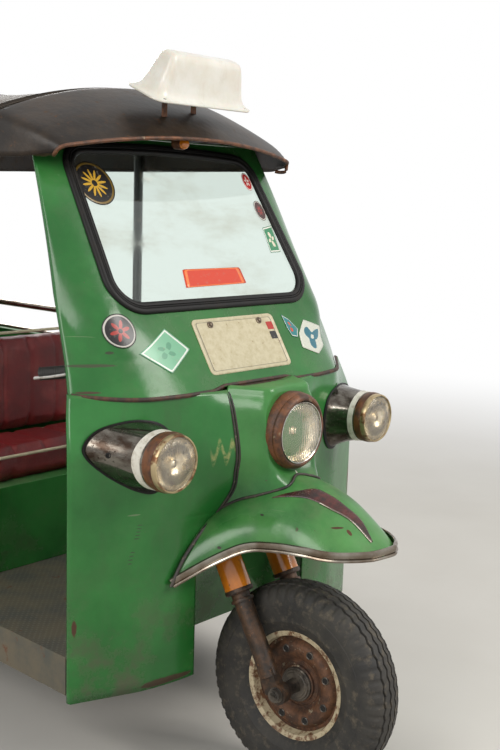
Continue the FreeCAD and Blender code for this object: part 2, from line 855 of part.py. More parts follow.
engine_bay = block(-rail_in + 1, rail_in - 1, driver_front_y + 12, bulkhead_y - 32,
                   floor_z - 1, floor_z + sheet + 1)
floor_pan = fused([floor, sill, mirrored(sill)]).cut(engine_bay)
for strut in struts:
    floor_pan = floor_pan.cut(strut)
nodes["floor_pan"] = floor_pan

# Dashboard and pedals
dash_rows = [
    # behind the centre plate, below the belt
    (0, 14),
    (130, 30),
    (145, 80),
    (0, 100),
]
dash_loop = [V(-dash_half, plate_back + back, belt_z - down) for back, down in dash_rows]
behind_rows = [
    # x, y
    (flat_x, plate_back),
    (crease_x, crease_y + 3 * sheet),
    (apron_half, apron_edge_y + 3 * sheet),
    (apron_half, well_back_y + 200),
]
behind_loop = [V(x, y, 0) for x, y in behind_rows]
behind_loop += [V(-x, y, 0) for x, y in reversed(behind_rows)]
dash = prism(dash_loop, V(2 * dash_half, 0, 0)).common(prism(behind_loop, V(0, 0, belt_z)))
gauge = rod(V(0, plate_back + 120, belt_z - 60), V(0, plate_back + 160, belt_z - 30), gauge_radius)
nodes["dashboard"] = fused([dash, gauge])
pedal_rows = [
    # x, pad half width
    (-150, 26),
    (-40, 34),
    (140, 34),
]
pedals = []
for x, half in pedal_rows:
    foot = V(x, pedal_y, floor_z + sheet + 10)
    tip = foot + V(0, -pedal_reach, pedal_rise)
    arm = rod(foot, tip, 8)
    pad = block(-half, half, -5, 5, -26, 26)
    pad.Placement = FreeCAD.Placement(tip, FreeCAD.Rotation(V(1, 0, 0), 35))
    base = block(x - 16, x + 16, pedal_y - 20, pedal_y + 20, floor_z + sheet, floor_z + sheet + 16)
    pedals.append(fused([arm, pad, base]))
nodes["pedals"] = Part.makeCompound(pedals)

# Driver's seat box over the engine, with cushion and backrest
deck_z = floor_z + sheet
box_back_y = bulkhead_y - post_radius - 6
box = block(-driver_half, driver_half, driver_front_y, box_back_y, deck_z, driver_top_z)
hollow = block(-driver_half + sheet, driver_half - sheet, driver_front_y + sheet, box_back_y - sheet,
               deck_z - 1, driver_top_z - sheet)
partition = block(-driver_half, driver_half, box_back_y - sheet, box_back_y, deck_z, partition_top_z)
nodes["driver_seat_base"] = fused([box.cut(hollow), partition])
seat_y0 = driver_front_y + 10
seat_y1 = box_back_y - sheet - seat_gap
cushion = block(-driver_cushion_half, driver_cushion_half, seat_y0, seat_y1 - driver_back_depth - 2,
                driver_top_z + seat_gap, driver_top_z + driver_cushion_height)
top_edges = [e for e in cushion.Edges if e.BoundBox.ZMin > driver_top_z + 50]
nodes["driver_cushion"] = cushion.makeFillet(28, top_edges)
driver_back = block(-driver_back_half, driver_back_half, seat_y1 - driver_back_depth, seat_y1,
                    driver_top_z + 60, driver_back_top_z)
front_edges = [e for e in driver_back.Edges if e.BoundBox.YMax < seat_y1 - 40]
nodes["driver_backrest"] = driver_back.makeFillet(24, front_edges)

# Passenger bench: riser, deck and back board, with cushion and backrest
inner_half = housing_x - sheet
board_half = rear_post_x - post_radius
riser = block(-inner_half, inner_half, passenger_front_y, passenger_front_y + sheet, deck_z, housing_top_z)
bench_deck = block(-inner_half, inner_half, passenger_front_y, passenger_back_y + 2 * sheet,
                   housing_top_z - sheet, housing_top_z)
back_board = block(-board_half, board_half, passenger_back_y,
                   passenger_back_y + 2 * sheet, housing_top_z, seat_back_top_z)
nodes["passenger_seat_base"] = fused([riser, bench_deck, back_board])
cushion_half = body_half - 24
bench = block(-cushion_half, cushion_half, passenger_front_y - 20, passenger_back_y - bench_back_depth - 2,
              housing_top_z + seat_gap, housing_top_z + cushion_height)
top_edges = [e for e in bench.Edges if e.BoundBox.ZMin > housing_top_z + 60]
nodes["passenger_cushion"] = bench.makeFillet(30, top_edges)
back_half = board_half - 12
bench_back = block(-back_half, back_half, passenger_back_y - bench_back_depth, passenger_back_y - seat_gap,
                   housing_top_z + 40, seat_back_top_z + 20)
front_edges = [e for e in bench_back.Edges if e.BoundBox.YMax < passenger_back_y - 60]
nodes["passenger_backrest"] = bench_back.makeFillet(28, front_edges)

# Rear body: side panels with wheel openings, wheel housings, tail panel and flared arches
side_parts = []
side_panel = block(body_half - sheet, body_half, entry_rear_y, body_rear_y, well_bottom_z, body_top_z)
hub_inside = V(body_half - 40, wheelbase, front_axle_z)
wheel_hole = rod(hub_inside, hub_inside + V(100, 0, 0), arch_radius)
side_parts.append(side_panel.cut(wheel_hole))
side_parts.append(block(housing_x - sheet, housing_x, arch_front_y, arch_rear_y, deck_z, housing_top_z))
side_parts.append(block(housing_x - sheet, body_half - 1, arch_front_y, arch_rear_y,
                        housing_top_z - sheet, housing_top_z))
for y in (arch_front_y, arch_rear_y - sheet):
    side_parts.append(block(housing_x, body_half - 1, y, y + sheet, well_bottom_z, housing_top_z))
side_parts.append(block(body_half - top_flange, body_half - 1, entry_rear_y, body_rear_y,
                        body_top_z - sheet, body_top_z))
side_parts.append(block(body_half - entry_flange, body_half - 1, entry_rear_y, entry_rear_y + sheet,
                        deck_z + 1, body_top_z))
flare_edge = arch_radius + flare_width
flare_ring = pipe(V(body_half - 1, wheelbase, front_axle_z), V(flare_half, wheelbase, front_axle_z),
                  arch_radius + sheet, arch_radius)
flare_lip = pipe(V(flare_half - sheet, wheelbase, front_axle_z), V(flare_half, wheelbase, front_axle_z),
                 flare_edge, arch_radius)
flare_depth = flare_half - body_half
flare_at = V(body_half, wheelbase, front_axle_z)
flare_cone = Part.makeCone(flare_edge + 22, flare_edge, flare_depth, flare_at, V(1, 0, 0))
flare_core = Part.makeCone(flare_edge + 18, flare_edge - 4, flare_depth, flare_at - V(1, 0, 0), V(1, 0, 0))
flare = fused([flare_cone.cut(flare_core), flare_lip, flare_ring])
flare = flare.common(block(0, flare_half + 1, entry_rear_y, body_rear_y, well_bottom_z, body_top_z))
side_parts.append(flare)
body_side = fused(side_parts)
tail = block(-body_half + sheet, body_half - sheet, body_rear_y - sheet, body_rear_y, deck_z, body_top_z)
tail_top = block(-body_half + sheet, body_half - sheet, body_rear_y - top_flange, body_rear_y,
                 body_top_z - sheet, body_top_z)
nodes["rear_body"] = fused([body_side, mirrored(body_side), tail, tail_top])

# Tail lamps and rear bumper
lamp = block(tail_lamp_x - tail_lamp_half, tail_lamp_x + tail_lamp_half, body_rear_y,
             body_rear_y + tail_lamp_depth, tail_lamp_z - tail_lamp_rise, tail_lamp_z + tail_lamp_rise)
lamp_edges = [e for e in lamp.Edges if e.BoundBox.YMin > body_rear_y + 1]
nodes["tail_lamps"] = pair(lamp.makeFillet(14, lamp_edges))
bumper_y = rail_end_y + bumper_radius
bumper_points = [
    V(-bumper_half, bumper_y - bumper_return, bumper_z),
    V(-bumper_straight, bumper_y, bumper_z),
    V(bumper_straight, bumper_y, bumper_z),
    V(bumper_half, bumper_y - bumper_return, bumper_z),
]
nodes["rear_bumper"] = bent_bar(bumper_points, 60, bumper_radius)

# Roof: frame of posts, rails and bows, the canopy over it, and the front visor


def roof_section(side_y, crown_y, bottom, bottom_z, shoulder, shoulder_z, crown_z):
    """Thin closed roof slice: upright side, arc over the crown, upright side."""
    left = V(-shoulder, side_y, shoulder_z)
    right = V(shoulder, side_y, shoulder_z)
    lean = (crown_y - side_y) / (crown_z - shoulder_z)
    low_y = side_y + lean * (bottom_z - shoulder_z)
    arc = Part.Arc(left, V(0, crown_y, crown_z), right).toShape()
    centre = arc.Curve.Center
    upwards = (V(0, crown_y, crown_z) - centre).normalize()
    inner_radius = arc.Curve.Radius - canopy_wall
    inner = []
    for x in (canopy_wall - shoulder, 0, shoulder - canopy_wall):
        inner.append(centre + V(x, 0, 0) + upwards * math.sqrt(inner_radius ** 2 - x ** 2))
    low_left = V(-bottom, low_y, bottom_z)
    low_right = V(bottom, low_y, bottom_z)
    edges = [
        Part.LineSegment(low_left, left).toShape(),
        arc,
        Part.LineSegment(right, low_right).toShape(),
        Part.LineSegment(low_right, low_right - V(canopy_wall, 0, 0)).toShape(),
        Part.LineSegment(low_right - V(canopy_wall, 0, 0), inner[2]).toShape(),
        Part.Arc(inner[2], inner[1], inner[0]).toShape(),
        Part.LineSegment(inner[0], low_left + V(canopy_wall, 0, 0)).toShape(),
        Part.LineSegment(low_left + V(canopy_wall, 0, 0), low_left).toShape(),
    ]
    return Part.Wire(edges)


canopy_wires = [roof_section(row[0], *row) for row in roof_rows[1:]]
nodes["roof_canopy"] = Part.makeLoft(canopy_wires, True, True)
visor_rows = [
    # side y, crown y, bottom half width, bottom z, shoulder half width, shoulder z, crown z
    (450, 398, 420, 1543, 413, 1556, 1612),
    (480, 440, 438, 1542, 428, 1590, 1660),
    (530, 505, 460, 1541, 446, 1624, 1700),
]
visor_wires = [roof_section(*row) for row in visor_rows]
visor_wires += [roof_section(row[0], *row) for row in roof_rows[:2]]
nodes["roof_visor"] = Part.makeLoft(visor_wires, True, True)


def bow(row_index, y):
    """Round bow under the canopy, parallel to its inner face."""
    row = roof_rows[row_index]
    left = V(-row[3], y, row[4])
    right = V(row[3], y, row[4])
    crown_arc = Part.Arc(left, V(0, y, row[5]), right).toShape().Curve
    shrink = 1 - (canopy_wall + seat_gap + bow_radius) / crown_arc.Radius
    ends = []
    for side in (-1, 1):
        x = side * (row[3] - 20)
        height = math.sqrt(crown_arc.Radius ** 2 - x ** 2)
        ends.append(crown_arc.Center + V(x, 0, height) * shrink)
    top = crown_arc.Center + V(0, 0, crown_arc.Radius) * shrink
    path = Part.Wire(Part.Arc(ends[0], top, ends[1]).toShape())
    tangent = path.Edges[0].tangentAt(path.Edges[0].FirstParameter)
    circle = Part.Wire(Part.Circle(ends[0], tangent, bow_radius).toShape())
    return path.makePipeShell([circle], True, True), ends


bow_places = [(0, roof_front_y - bow_pad), (2, bulkhead_y), (4, roof_rear_y - bow_pad)]
frame_parts = []
bow_ends = []
for index, y in bow_places:
    solid, ends = bow(index, y)
    frame_parts.append(solid)
    bow_ends.append(ends[1])
for side in (-1, 1):
    ends = [V(side * p.x, p.y, p.z - rail_drop) for p in bow_ends]
    frame_parts.append(bent_bar(ends, 260, bow_radius + 2))
    leg_foot = V(side * header_leg_x, ends[0].y, screen_top_z + sheet)
    frame_parts.append(rod(leg_foot, V(leg_foot.x, leg_foot.y, header_leg_top), bow_radius - 1))
    posts = [
        # x, y, foot z, top z
        (middle_post_x, bulkhead_y, deck_z, ends[1].z),
        (rear_post_x, rear_post_y, housing_top_z, ends[2].z),
    ]
    for x, y, foot_z, post_top in posts:
        frame_parts.append(rod(V(side * x, y, foot_z), V(side * x, y, post_top), post_radius))
nodes["roof_frame"] = fused(frame_parts)

# Roof sign on two brackets
sign_place = FreeCAD.Placement(V(0, sign_y, sign_z), FreeCAD.Rotation(V(1, 0, 0), sign_pitch))


def sign_loop(half, depth, z, corner):
    rect = [V(-half, -depth, z), V(half, -depth, z), V(half, depth, z), V(-half, depth, z)]
    face = Part.Face(outline(rect)).extrude(V(0, 0, 1))
    rounded = face.makeFillet(corner, [e for e in face.Edges if abs(e.tangentAt(e.FirstParameter).z) > 0.9])
    bottom = min(rounded.Faces, key=lambda f: f.CenterOfMass.z)
    return bottom.OuterWire


sign_rows = [
    # height, half width, half depth, corner radius
    (sign_flange, sign_half - 12, sign_half_depth - 12, 26),
    (sign_flange + 22, sign_half - 24, sign_half_depth - 18, 22),
    (sign_height - 14, sign_top_half + 8, sign_top_depth + 5, 14),
    (sign_height, sign_top_half - 8, sign_top_depth - 8, 8),
]
sign_shell = Part.makeLoft([sign_loop(h, d, z, c) for z, h, d, c in sign_rows], True, True)
sign_base = Part.Face(sign_loop(sign_half, sign_half_depth, 0, 30)).extrude(V(0, 0, sign_flange))
sign = fused([sign_base, sign_shell])
sign.Placement = sign_place
struts = []
for side in (-1, 1):
    for depth in (-30, 30):
        foot = sign_place.multVec(V(side * 120, depth, 0))
        struts.append(rod(foot, V(foot.x, foot.y, foot.z - 120), 6))
strut_solids = []
for strut in struts:
    strut_solids.append(strut.cut(nodes["roof_visor"]))
bracket_parts = []
for strut in strut_solids:
    bracket_parts.append(max(strut.Solids, key=lambda s: s.CenterOfMass.z))
nodes["roof_sign"] = fused([sign] + bracket_parts)

# Side rails over the rear body
side_rail_x = body_half - side_rail_inset
side_rail_top_z = body_top_z + side_rail_rise
side_rail_points = [
    V(side_rail_x, side_rail_front_y, body_top_z),
    V(side_rail_x, side_rail_front_y, side_rail_top_z),
    V(side_rail_x, side_rail_back_y, side_rail_top_z),
    V(side_rail_x, side_rail_back_y, body_top_z),
]
nodes["side_rails"] = pair(bent_bar(side_rail_points, 50, side_rail_radius))

# Engine block, drive shaft, rear axle, springs and exhaust
engine_y0 = driver_front_y + 22
engine_y1 = bulkhead_y - 42
nodes["engine_block"] = block(-engine_half, engine_half, engine_y0, engine_y1, engine_bottom, engine_top)
shaft_start = V(0, engine_y1, 280)
shaft_end = V(0, wheelbase - diff_radius + 2, front_axle_z + 4)
shaft_dir = (shaft_end - shaft_start).normalize()
nodes["drive_shaft"] = fused([
    rod(shaft_start + shaft_dir * 1, shaft_end, 20),
    rod(shaft_start + shaft_dir * 1, shaft_start + shaft_dir * 40, 28),
    rod(shaft_end - shaft_dir * 40, shaft_end, 28),
])
brake_face = housing_x - 8
tube_end = V(brake_face, wheelbase, front_axle_z)
axle_parts = [rod(V(-brake_face, wheelbase, front_axle_z), tube_end, axle_tube_radius)]
diff_profile = [
    (-diff_half, 40),
    (-diff_half * 0.5, diff_radius),
    (diff_half * 0.5, diff_radius),
    (diff_half, 40),
    (diff_half, 0),
    (-diff_half, 0),
]
axle_parts.append(turned(diff_profile, V(0, wheelbase, front_axle_z), V(1, 0, 0)))
for side in (-1, 1):
    face = V(side * brake_face, wheelbase, front_axle_z)
    axle_parts.append(rod(face - V(side * 6, 0, 0), face, drum_radius - 2))
    shaft_tip = V(side * (rear_track / 2 + hub_half - 2), wheelbase, front_axle_z)
    axle_parts.append(rod(face, shaft_tip, axle_radius))
    lo, hi = sorted((side * (rail_x - leaf_width / 2), side * (rail_x + leaf_width / 2)))
    axle_parts.append(block(lo, hi, wheelbase - 30, wheelbase + 30, leaf_bottom + leaf_thickness + 0.8,
                            front_axle_z - axle_tube_radius + 8))
nodes["rear_axle"] = fused(axle_parts).cut(nodes["drive_shaft"])

leaf_radius = (leaf_span ** 2 / 4 + leaf_drop ** 2) / (2 * leaf_drop)
leaf_centre = V(0, wheelbase, leaf_bottom + leaf_radius)
springs = []
for side in (-1, 1):
    lo = side * rail_x - leaf_width / 2
    leaves = []
    for i in range(leaf_count):
        outer = leaf_radius + leaf_thickness * i
        reach = leaf_span / 2 * (1 - 0.28 * i)
        ring = pipe(V(lo, wheelbase, leaf_centre.z), V(lo + leaf_width, wheelbase, leaf_centre.z),
                    outer, outer - leaf_thickness)
        leaves.append(ring.common(block(lo - 1, lo + leaf_width + 1, wheelbase - reach, wheelbase + reach,
                                        leaf_bottom - 60, leaf_bottom + leaf_drop + 20)))
    for y in (spring_front, spring_rear):
        leaves.append(rod(V(lo, y, eye_z), V(lo + leaf_width, y, eye_z), eye_radius))
    spring = fused(leaves)
    for y in (spring_front, spring_rear):
        eye_bore = rod(V(lo - 1, y, eye_z), V(lo + leaf_width + 1, y, eye_z), eye_pin_radius + seat_gap)
        spring = spring.cut(eye_bore)
    springs.append(spring)
nodes["leaf_springs"] = Part.makeCompound(springs)

exhaust_front_y = (engine_y0 + engine_y1) / 2
exhaust_points = [
    V(engine_half, exhaust_front_y, exhaust_z),
    V(exhaust_x, exhaust_front_y, exhaust_z),
    V(exhaust_x, exhaust_back_y, exhaust_z),
    V(exhaust_tip_x, exhaust_back_y, exhaust_z - 10),
]
exhaust_pipe = bent_bar(exhaust_points, 60, exhaust_radius)
muffler_front = V(exhaust_x, muffler_front_y, exhaust_z)
muffler = rod(muffler_front, V(exhaust_x, muffler_back_y, exhaust_z), muffler_radius)
hanger_y = (muffler_front_y + muffler_back_y) / 2
hanger = rod(V(exhaust_x, hanger_y, exhaust_z), V(exhaust_x, hanger_y, floor_z), 6)
nodes["exhaust"] = fused([exhaust_pipe, muffler, hanger])

# All pieces move so that Y 0 is the middle of the vehicle's length
front_end = nodes["front_tyre"].optimalBoundingBox(False, False).YMin
rear_end = bumper_y + bumper_radius
length_shift = -(front_end + rear_end) / 2
for name, shape in nodes.items():
    shape = shape.copy()
    shape.translate(V(0, length_shift, 0))
    shape.exportStep("parts/" + name + ".step")
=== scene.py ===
import math

import bmesh
import bpy
import numpy as np
from mathutils import Matrix, Vector


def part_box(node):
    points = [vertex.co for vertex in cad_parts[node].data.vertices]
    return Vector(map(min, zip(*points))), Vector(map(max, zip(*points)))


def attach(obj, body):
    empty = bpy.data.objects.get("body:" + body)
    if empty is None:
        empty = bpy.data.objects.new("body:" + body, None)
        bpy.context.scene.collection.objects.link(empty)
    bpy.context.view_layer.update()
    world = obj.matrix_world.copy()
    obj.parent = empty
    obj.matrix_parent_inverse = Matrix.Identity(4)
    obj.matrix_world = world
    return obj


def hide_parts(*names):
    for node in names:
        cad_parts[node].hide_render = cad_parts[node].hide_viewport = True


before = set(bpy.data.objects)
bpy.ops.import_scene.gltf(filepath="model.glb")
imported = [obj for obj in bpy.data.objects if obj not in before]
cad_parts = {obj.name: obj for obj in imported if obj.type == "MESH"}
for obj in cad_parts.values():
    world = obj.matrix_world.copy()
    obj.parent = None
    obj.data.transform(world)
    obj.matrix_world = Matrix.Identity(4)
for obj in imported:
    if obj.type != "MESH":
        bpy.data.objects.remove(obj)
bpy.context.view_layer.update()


# Camera. It stands where the photographer stood: to the right of the nose, at a standing person's chest height,
# level with the headlamp and looking slightly down along the vehicle.
axle_y = -1.21506
scene = bpy.context.scene
heading, dip, lean = np.radians([48.413, 9.431, 1.766])
ahead = np.array([math.sin(heading) * math.cos(dip), math.cos(heading) * math.cos(dip), -math.sin(dip)])
level = np.array([math.cos(heading), -math.sin(heading), 0.0])
upright = np.cross(level, ahead)
across = level * math.cos(lean) + upright * math.sin(lean)
upwards = upright * math.cos(lean) - level * math.sin(lean)
eye = (-1.9768, -1.5458 + axle_y, 1.4560)
focal_pixels, picture_pixels, sensor_width = 1053.4, 750.0, 36.0
camera = bpy.data.objects.new("camera", bpy.data.cameras.new("camera"))
scene.collection.objects.link(camera)
turn = Matrix([[across[i], upwards[i], -ahead[i], 0.0] for i in range(3)] + [[0.0, 0.0, 0.0, 1.0]])
camera.matrix_world = Matrix.Translation(eye) @ turn
camera.data.sensor_width = sensor_width
camera.data.lens = focal_pixels * sensor_width / picture_pixels
camera.data.clip_end = 100.0
scene.camera = camera
scene.view_settings.view_transform = "Standard"


# Studio: a pale floor that fades to a white surround, a large soft lamp at the front, a second at the side
# and a narrow one behind. The surround is white to the eye and in reflections, and lights the object gently.
class Wire:
    """A socket of a node tree. Sums, products and comparisons of wires add Math nodes; put() adds any other node."""

    def __init__(self, tree, socket=None):
        self.tree = tree
        self.socket = socket

    def put(self, kind, settings=None, out=0, **sockets):
        """Adds a node: its settings first, then values or wires for its sockets."""
        node = self.tree.nodes.new("ShaderNode" + kind)
        for name, value in (settings or {}).items():
            setattr(node, name, value)
        for name, value in sockets.items():
            key = int(name[1:]) if name[1:].isdigit() else name.replace("_", " ")
            socket = node.inputs[key]
            if isinstance(value, Wire):
                self.tree.links.new(value.socket, socket)
            else:
                socket.default_value = value
        return Wire(self.tree, node.outputs[out] if node.outputs else None)

    def _math(operation, swapped=False):
        """A method that puts one Math node on a pair of values."""
        def put_pair(self, other=0.0):
            first, second = (other, self) if swapped else (self, other)
            return self.put("Math", {"operation": operation}, s0=first, s1=second)
        return put_pair

    # The operators and functions that the finishes use.
    __add__, __sub__, __rsub__ = _math("ADD"), _math("SUBTRACT"), _math("SUBTRACT", True)
    __mul__, __gt__, __lt__ = _math("MULTIPLY"), _math("GREATER_THAN"), _math("LESS_THAN")
    least, most, size, sine = _math("MINIMUM"), _math("MAXIMUM"), _math("ABSOLUTE"), _math("SINE")

    def wave(self):
        """Sine of the value times whole turns."""
        return (self * (2 * math.pi)).sine()

    def step(self, low, high):
        """0 below low, 1 above high and a smooth rise between; low may be above high for a fall."""
        return self.put("MapRange", {"interpolation_type": "SMOOTHSTEP"}, Value=self, From_Min=low, From_Max=high)

    def over(self, below, colour):
        """The colour laid over the one below, where this value is 1. Colours are wires or screen values."""
        return self.put("Mix", {"data_type": "RGBA"}, out=2, s0=self, s6=coloured(below), s7=coloured(colour))


def coloured(paint):
    """A paint colour written as screen values 0 to 255, turned to linear light. A wire stays as it is."""
    if isinstance(paint, Wire):
        return paint
    parts = [((c / 255 + 0.055) / 1.055) ** 2.4 if c > 10 else c / 255 / 12.92 for c in paint]
    return (*parts, 1.0)


def new_finish(name):
    """A material with an empty tree: returns it and the place on the object, in metres in the row frame, on
    which the tree is built."""
    material = bpy.data.materials.new(name)
    material.use_nodes = True
    material.node_tree.nodes.clear()
    return material, Wire(material.node_tree).put("TexCoord", out=3)


def axis_of(point, axis):
    """One coordinate of a point: 0, 1 or 2."""
    return point.put("SeparateXYZ", out=axis, Vector=point)


def noise(point, scale, detail=4.0, roughness=0.55, distortion=0.0):
    """Cloudy value round 0.5, about one blotch per 1/scale metres."""
    return point.put("TexNoise", Vector=point, Scale=scale, Detail=detail, Roughness=roughness,
                     Distortion=distortion)


def stretched(point, scales):
    """The point scaled on each axis, so that a pattern draws out along the smaller one."""
    return point.put("VectorMath", {"operation": "MULTIPLY"}, s0=point, s1=scales)


def white_rays(build):
    """1 for the eye's, mirror and transmission rays, to which the surround is white."""
    return build.put("LightPath").most(build.put("LightPath", out=3)).most(build.put("LightPath", out=6))


def added(name, data):
    """A new object in the scene."""
    thing = bpy.data.objects.new(name, data)
    scene.collection.objects.link(thing)
    return thing


floor_finish, place = new_finish("studio_floor")
reach = place.put("VectorMath", {"operation": "LENGTH"}, out=1, s0=place)
pale = noise(place, 2.0).over((205, 201, 194), (216, 213, 207))
matt = place.put("BsdfDiffuse", Color=pale)
white = (1.0, 1.0, 1.0, 1.0)
glow = place.put("Emission", Color=white, Strength=1.0)
fade_from, fade_to = 2.2, 6.5
edge = reach.step(fade_from, fade_to) * white_rays(place)
place.put("OutputMaterial", Surface=place.put("MixShader", s0=edge, s1=matt, s2=glow))
floor_mesh = bpy.data.meshes.new("studio_floor")
floor_half = 20.0
floor_mesh.from_pydata([(floor_half * x, floor_half * y, 0) for x, y in ((-1, -1), (1, -1), (1, 1), (-1, 1))], [],
                       [(0, 1, 2, 3)])
floor_mesh.materials.append(floor_finish)
added("studio_floor", floor_mesh)

world = bpy.data.worlds.new("surround")
world.use_nodes = True
world.node_tree.nodes.clear()
build = Wire(world.node_tree)
lighting = build.put("Background", Color=(0.95, 0.98, 1.0, 1.0), Strength=0.46)
shown = build.put("Background", Color=white, Strength=1.0)
build.put("OutputWorld", Surface=build.put("MixShader", s0=white_rays(build), s1=lighting, s2=shown))
scene.world = world


def soft_lamp(name, place, aim, width, height, watts, colour):
    """Area lamp at place, turned to face aim."""
    data = bpy.data.lights.new(name, "AREA")
    data.shape = "RECTANGLE"
    data.size = width
    data.size_y = height
    data.energy = watts
    data.color = colour
    direction = Vector(aim) - Vector(place)
    turned_to = direction.to_track_quat("-Z", "Y").to_matrix().to_4x4()
    added(name, data).matrix_world = Matrix.Translation(place) @ turned_to


soft_lamp("front_lamp", (1.6, -4.8, 4.2), (0, -0.6, 0.8), 2.4, 2.4, 190, (1.0, 0.97, 0.93))
soft_lamp("side_lamp", (-4.6, -1.4, 3.2), (0, -0.2, 0.8), 3.0, 2.0, 130, (1.0, 0.98, 0.95))
soft_lamp("back_lamp", (2.5, 4.6, 3.6), (0, 0.4, 0.9), 3.0, 1.6, 130, (1.0, 0.98, 0.95))


# Front apron: two pressed steel wings, bent back at the sides and folded at the outer edges, and the wheel
# well behind them. One sheet of thin steel, spot welded to the floor and painted with green enamel.
weld = 2e-5


def placed(points):
    """Millimetres counted from the front axle, turned to metres in the row frame."""
    return np.asarray(points, float) / 1000 + (0.0, axle_y, 0.0)


def quads(rows, cols, ring_rows, ring_cols):
    """Corner numbers of the quads between neighbouring rows and columns, and each corner's place on the grid."""
    r = np.arange(rows if ring_rows else rows - 1)[:, None]
    c = np.arange(cols if ring_cols else cols - 1)[None, :]
    corners = [np.broadcast_arrays(r + i, c + j) for i, j in ((0, 0), (0, 1), (1, 1), (1, 0))]
    faces = np.stack([(i % rows) * cols + j % cols for i, j in corners], -1).reshape(-1, 4)
    spots = np.stack([np.stack([j / cols, i / rows], -1) for i, j in corners], -2).reshape(-1, 2)
    return faces, spots


def piece(name, grids, finish, slot, stands_for=(), inside=None, wall=0.0, sharp=40, body="body", turn=None):
    """One mesh from grids of points in millimetres. A grid closes on itself along its columns, or in the ways
    of the letters that come with it, r for rows and c for columns. Faces look away from the point inside;
    without one the mesh is a closed shell. A wall is added behind the faces. turn is a function laid over all
    points, such as the steering."""
    points, faces, spots = [], [], []
    start = 0
    for grid in grids:
        grid, ways = grid if isinstance(grid, tuple) else (grid, "c")
        found, where = quads(grid.shape[0], grid.shape[1], "r" in ways, "c" in ways)
        points.append(grid.reshape(-1, 3))
        faces.append(found + start)
        spots.append(where)
        start += grid.shape[0] * grid.shape[1]
    points = np.concatenate(points)
    if turn:
        points = turn(points)
        inside = None if inside is None else turn(np.array([inside], float))[0]
    mesh = bpy.data.meshes.new(name)
    mesh.from_pydata(placed(points), [], np.concatenate(faces).tolist())
    mesh.uv_layers.new(name="lay").data.foreach_set("uv", np.concatenate(spots).ravel())
    shell = bmesh.new()
    shell.from_mesh(mesh)
    bmesh.ops.remove_doubles(shell, verts=shell.verts, dist=weld)
    shell.normal_update()
    if inside is None:
        bmesh.ops.recalc_face_normals(shell, faces=shell.faces)
    else:
        middle = Vector(placed(inside))
        facing = sum(f.normal.dot(f.calc_center_median() - middle) * f.calc_area() for f in shell.faces)
        if facing < 0:
            bmesh.ops.reverse_faces(shell, faces=shell.faces)
    shell.to_mesh(mesh)
    shell.free()
    mesh.shade_smooth()
    mesh.set_sharp_from_angle(angle=math.radians(sharp))
    mesh.materials.append(finish)
    thing = added(name, mesh)
    if wall:
        thick = thing.modifiers.new("wall", "SOLIDIFY")
        thick.thickness = wall / 1000
        thick.offset = -1.0
    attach(thing, body)
    if stands_for:
        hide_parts(*stands_for)
    return thing


def soft_ramp(value, reach):
    """0 below -reach, the value above reach, and a parabola between: a bend rounded over twice the reach."""
    return np.where(value < -reach, 0.0, np.where(value > reach, value, (value + reach) ** 2 / (4 * reach)))


def smooth_line(points, count, ring=False):
    """Evenly numbered points on the curve through the given ones. Between two of them it is the cubic whose
    end slopes are half the chords to their neighbours."""
    p = np.asarray(points, float)
    n = len(p)
    if ring:
        t = np.arange(count) * n / count
        i = t.astype(int)
        a, b, c, d = p[(i - 1) % n], p[i % n], p[(i + 1) % n], p[(i + 2) % n]
    else:
        t = np.linspace(0, n - 1, count)
        i = np.minimum(t.astype(int), n - 2)
        p = np.vstack([2 * p[0] - p[1], p, 2 * p[-1] - p[-2]])
        a, b, c, d = p[i], p[i + 1], p[i + 2], p[i + 3]
    s = (t - i)[:, None]
    return b + 0.5 * s * (c - a + s * (2 * a - 5 * b + 4 * c - d + s * (3 * (b - c) + d - a)))


def along(path, profile, up=(0, 0, 1), ring=False):
    """Profile carried along a path. At each point the profile's first number goes square to the tangent and to
    up, its second square to the tangent and the first. The ends of an open path are drawn to a point."""
    path = np.asarray(path, float)
    profile = np.asarray(profile, float)
    ahead = np.roll(path, -1, 0) - np.roll(path, 1, 0) if ring else np.gradient(path, axis=0)
    ahead = ahead / np.linalg.norm(ahead, axis=1)[:, None]
    side = np.cross(ahead, up)
    side /= np.linalg.norm(side, axis=1)[:, None]
    top = np.cross(side, ahead)
    grid = path[:, None] + side[:, None] * profile[None, :, :1] + top[:, None] * profile[None, :, 1:]
    if not ring:
        grid = np.concatenate([np.broadcast_to(path[0], grid[:1].shape), grid,
                               np.broadcast_to(path[-1], grid[:1].shape)])
    return grid


def round_bar(radius, sides=16):
    """Circle as a profile, wound so that a tube's faces look outwards."""
    angle = np.arange(sides) * 2 * math.pi / sides
    return np.stack([np.cos(angle), np.sin(angle)], -1) * radius


def turned(rows, centre, axis, sides=96):
    """Rows of (distance along the axis, radius) turned round the axis through the centre."""
    axis = np.asarray(axis, float) / np.linalg.norm(axis)
    first = np.cross(axis, (0, 0, 1) if abs(axis[2]) < 0.9 else (0, 1, 0))
    first /= np.linalg.norm(first)
    second = np.cross(axis, first)
    angle = np.arange(sides) * 2 * math.pi / sides
    spokes = np.cos(angle)[:, None] * first + np.sin(angle)[:, None] * second
    rows = np.asarray(rows, float)
    return np.asarray(centre, float) + rows[:, None, :1] * axis + rows[:, None, 1:] * spokes[None]


def spot(point, centre, reach):
    """1 at a place and 0 outside an oval of the given reach round it, with a ragged edge. Millimetres."""
    moved = point.put("VectorMath", {"operation": "SUBTRACT"}, s0=point, s1=tuple(placed(centre)))
    moved = stretched(moved, tuple(1000 / r for r in reach))
    away = moved.put("VectorMath", {"operation": "LENGTH"}, out=1, s0=moved)
    ragged = 0.35
    return (away + (noise(point, 60.0) - 0.5) * (2 * ragged)).step(1.05, 0.8)


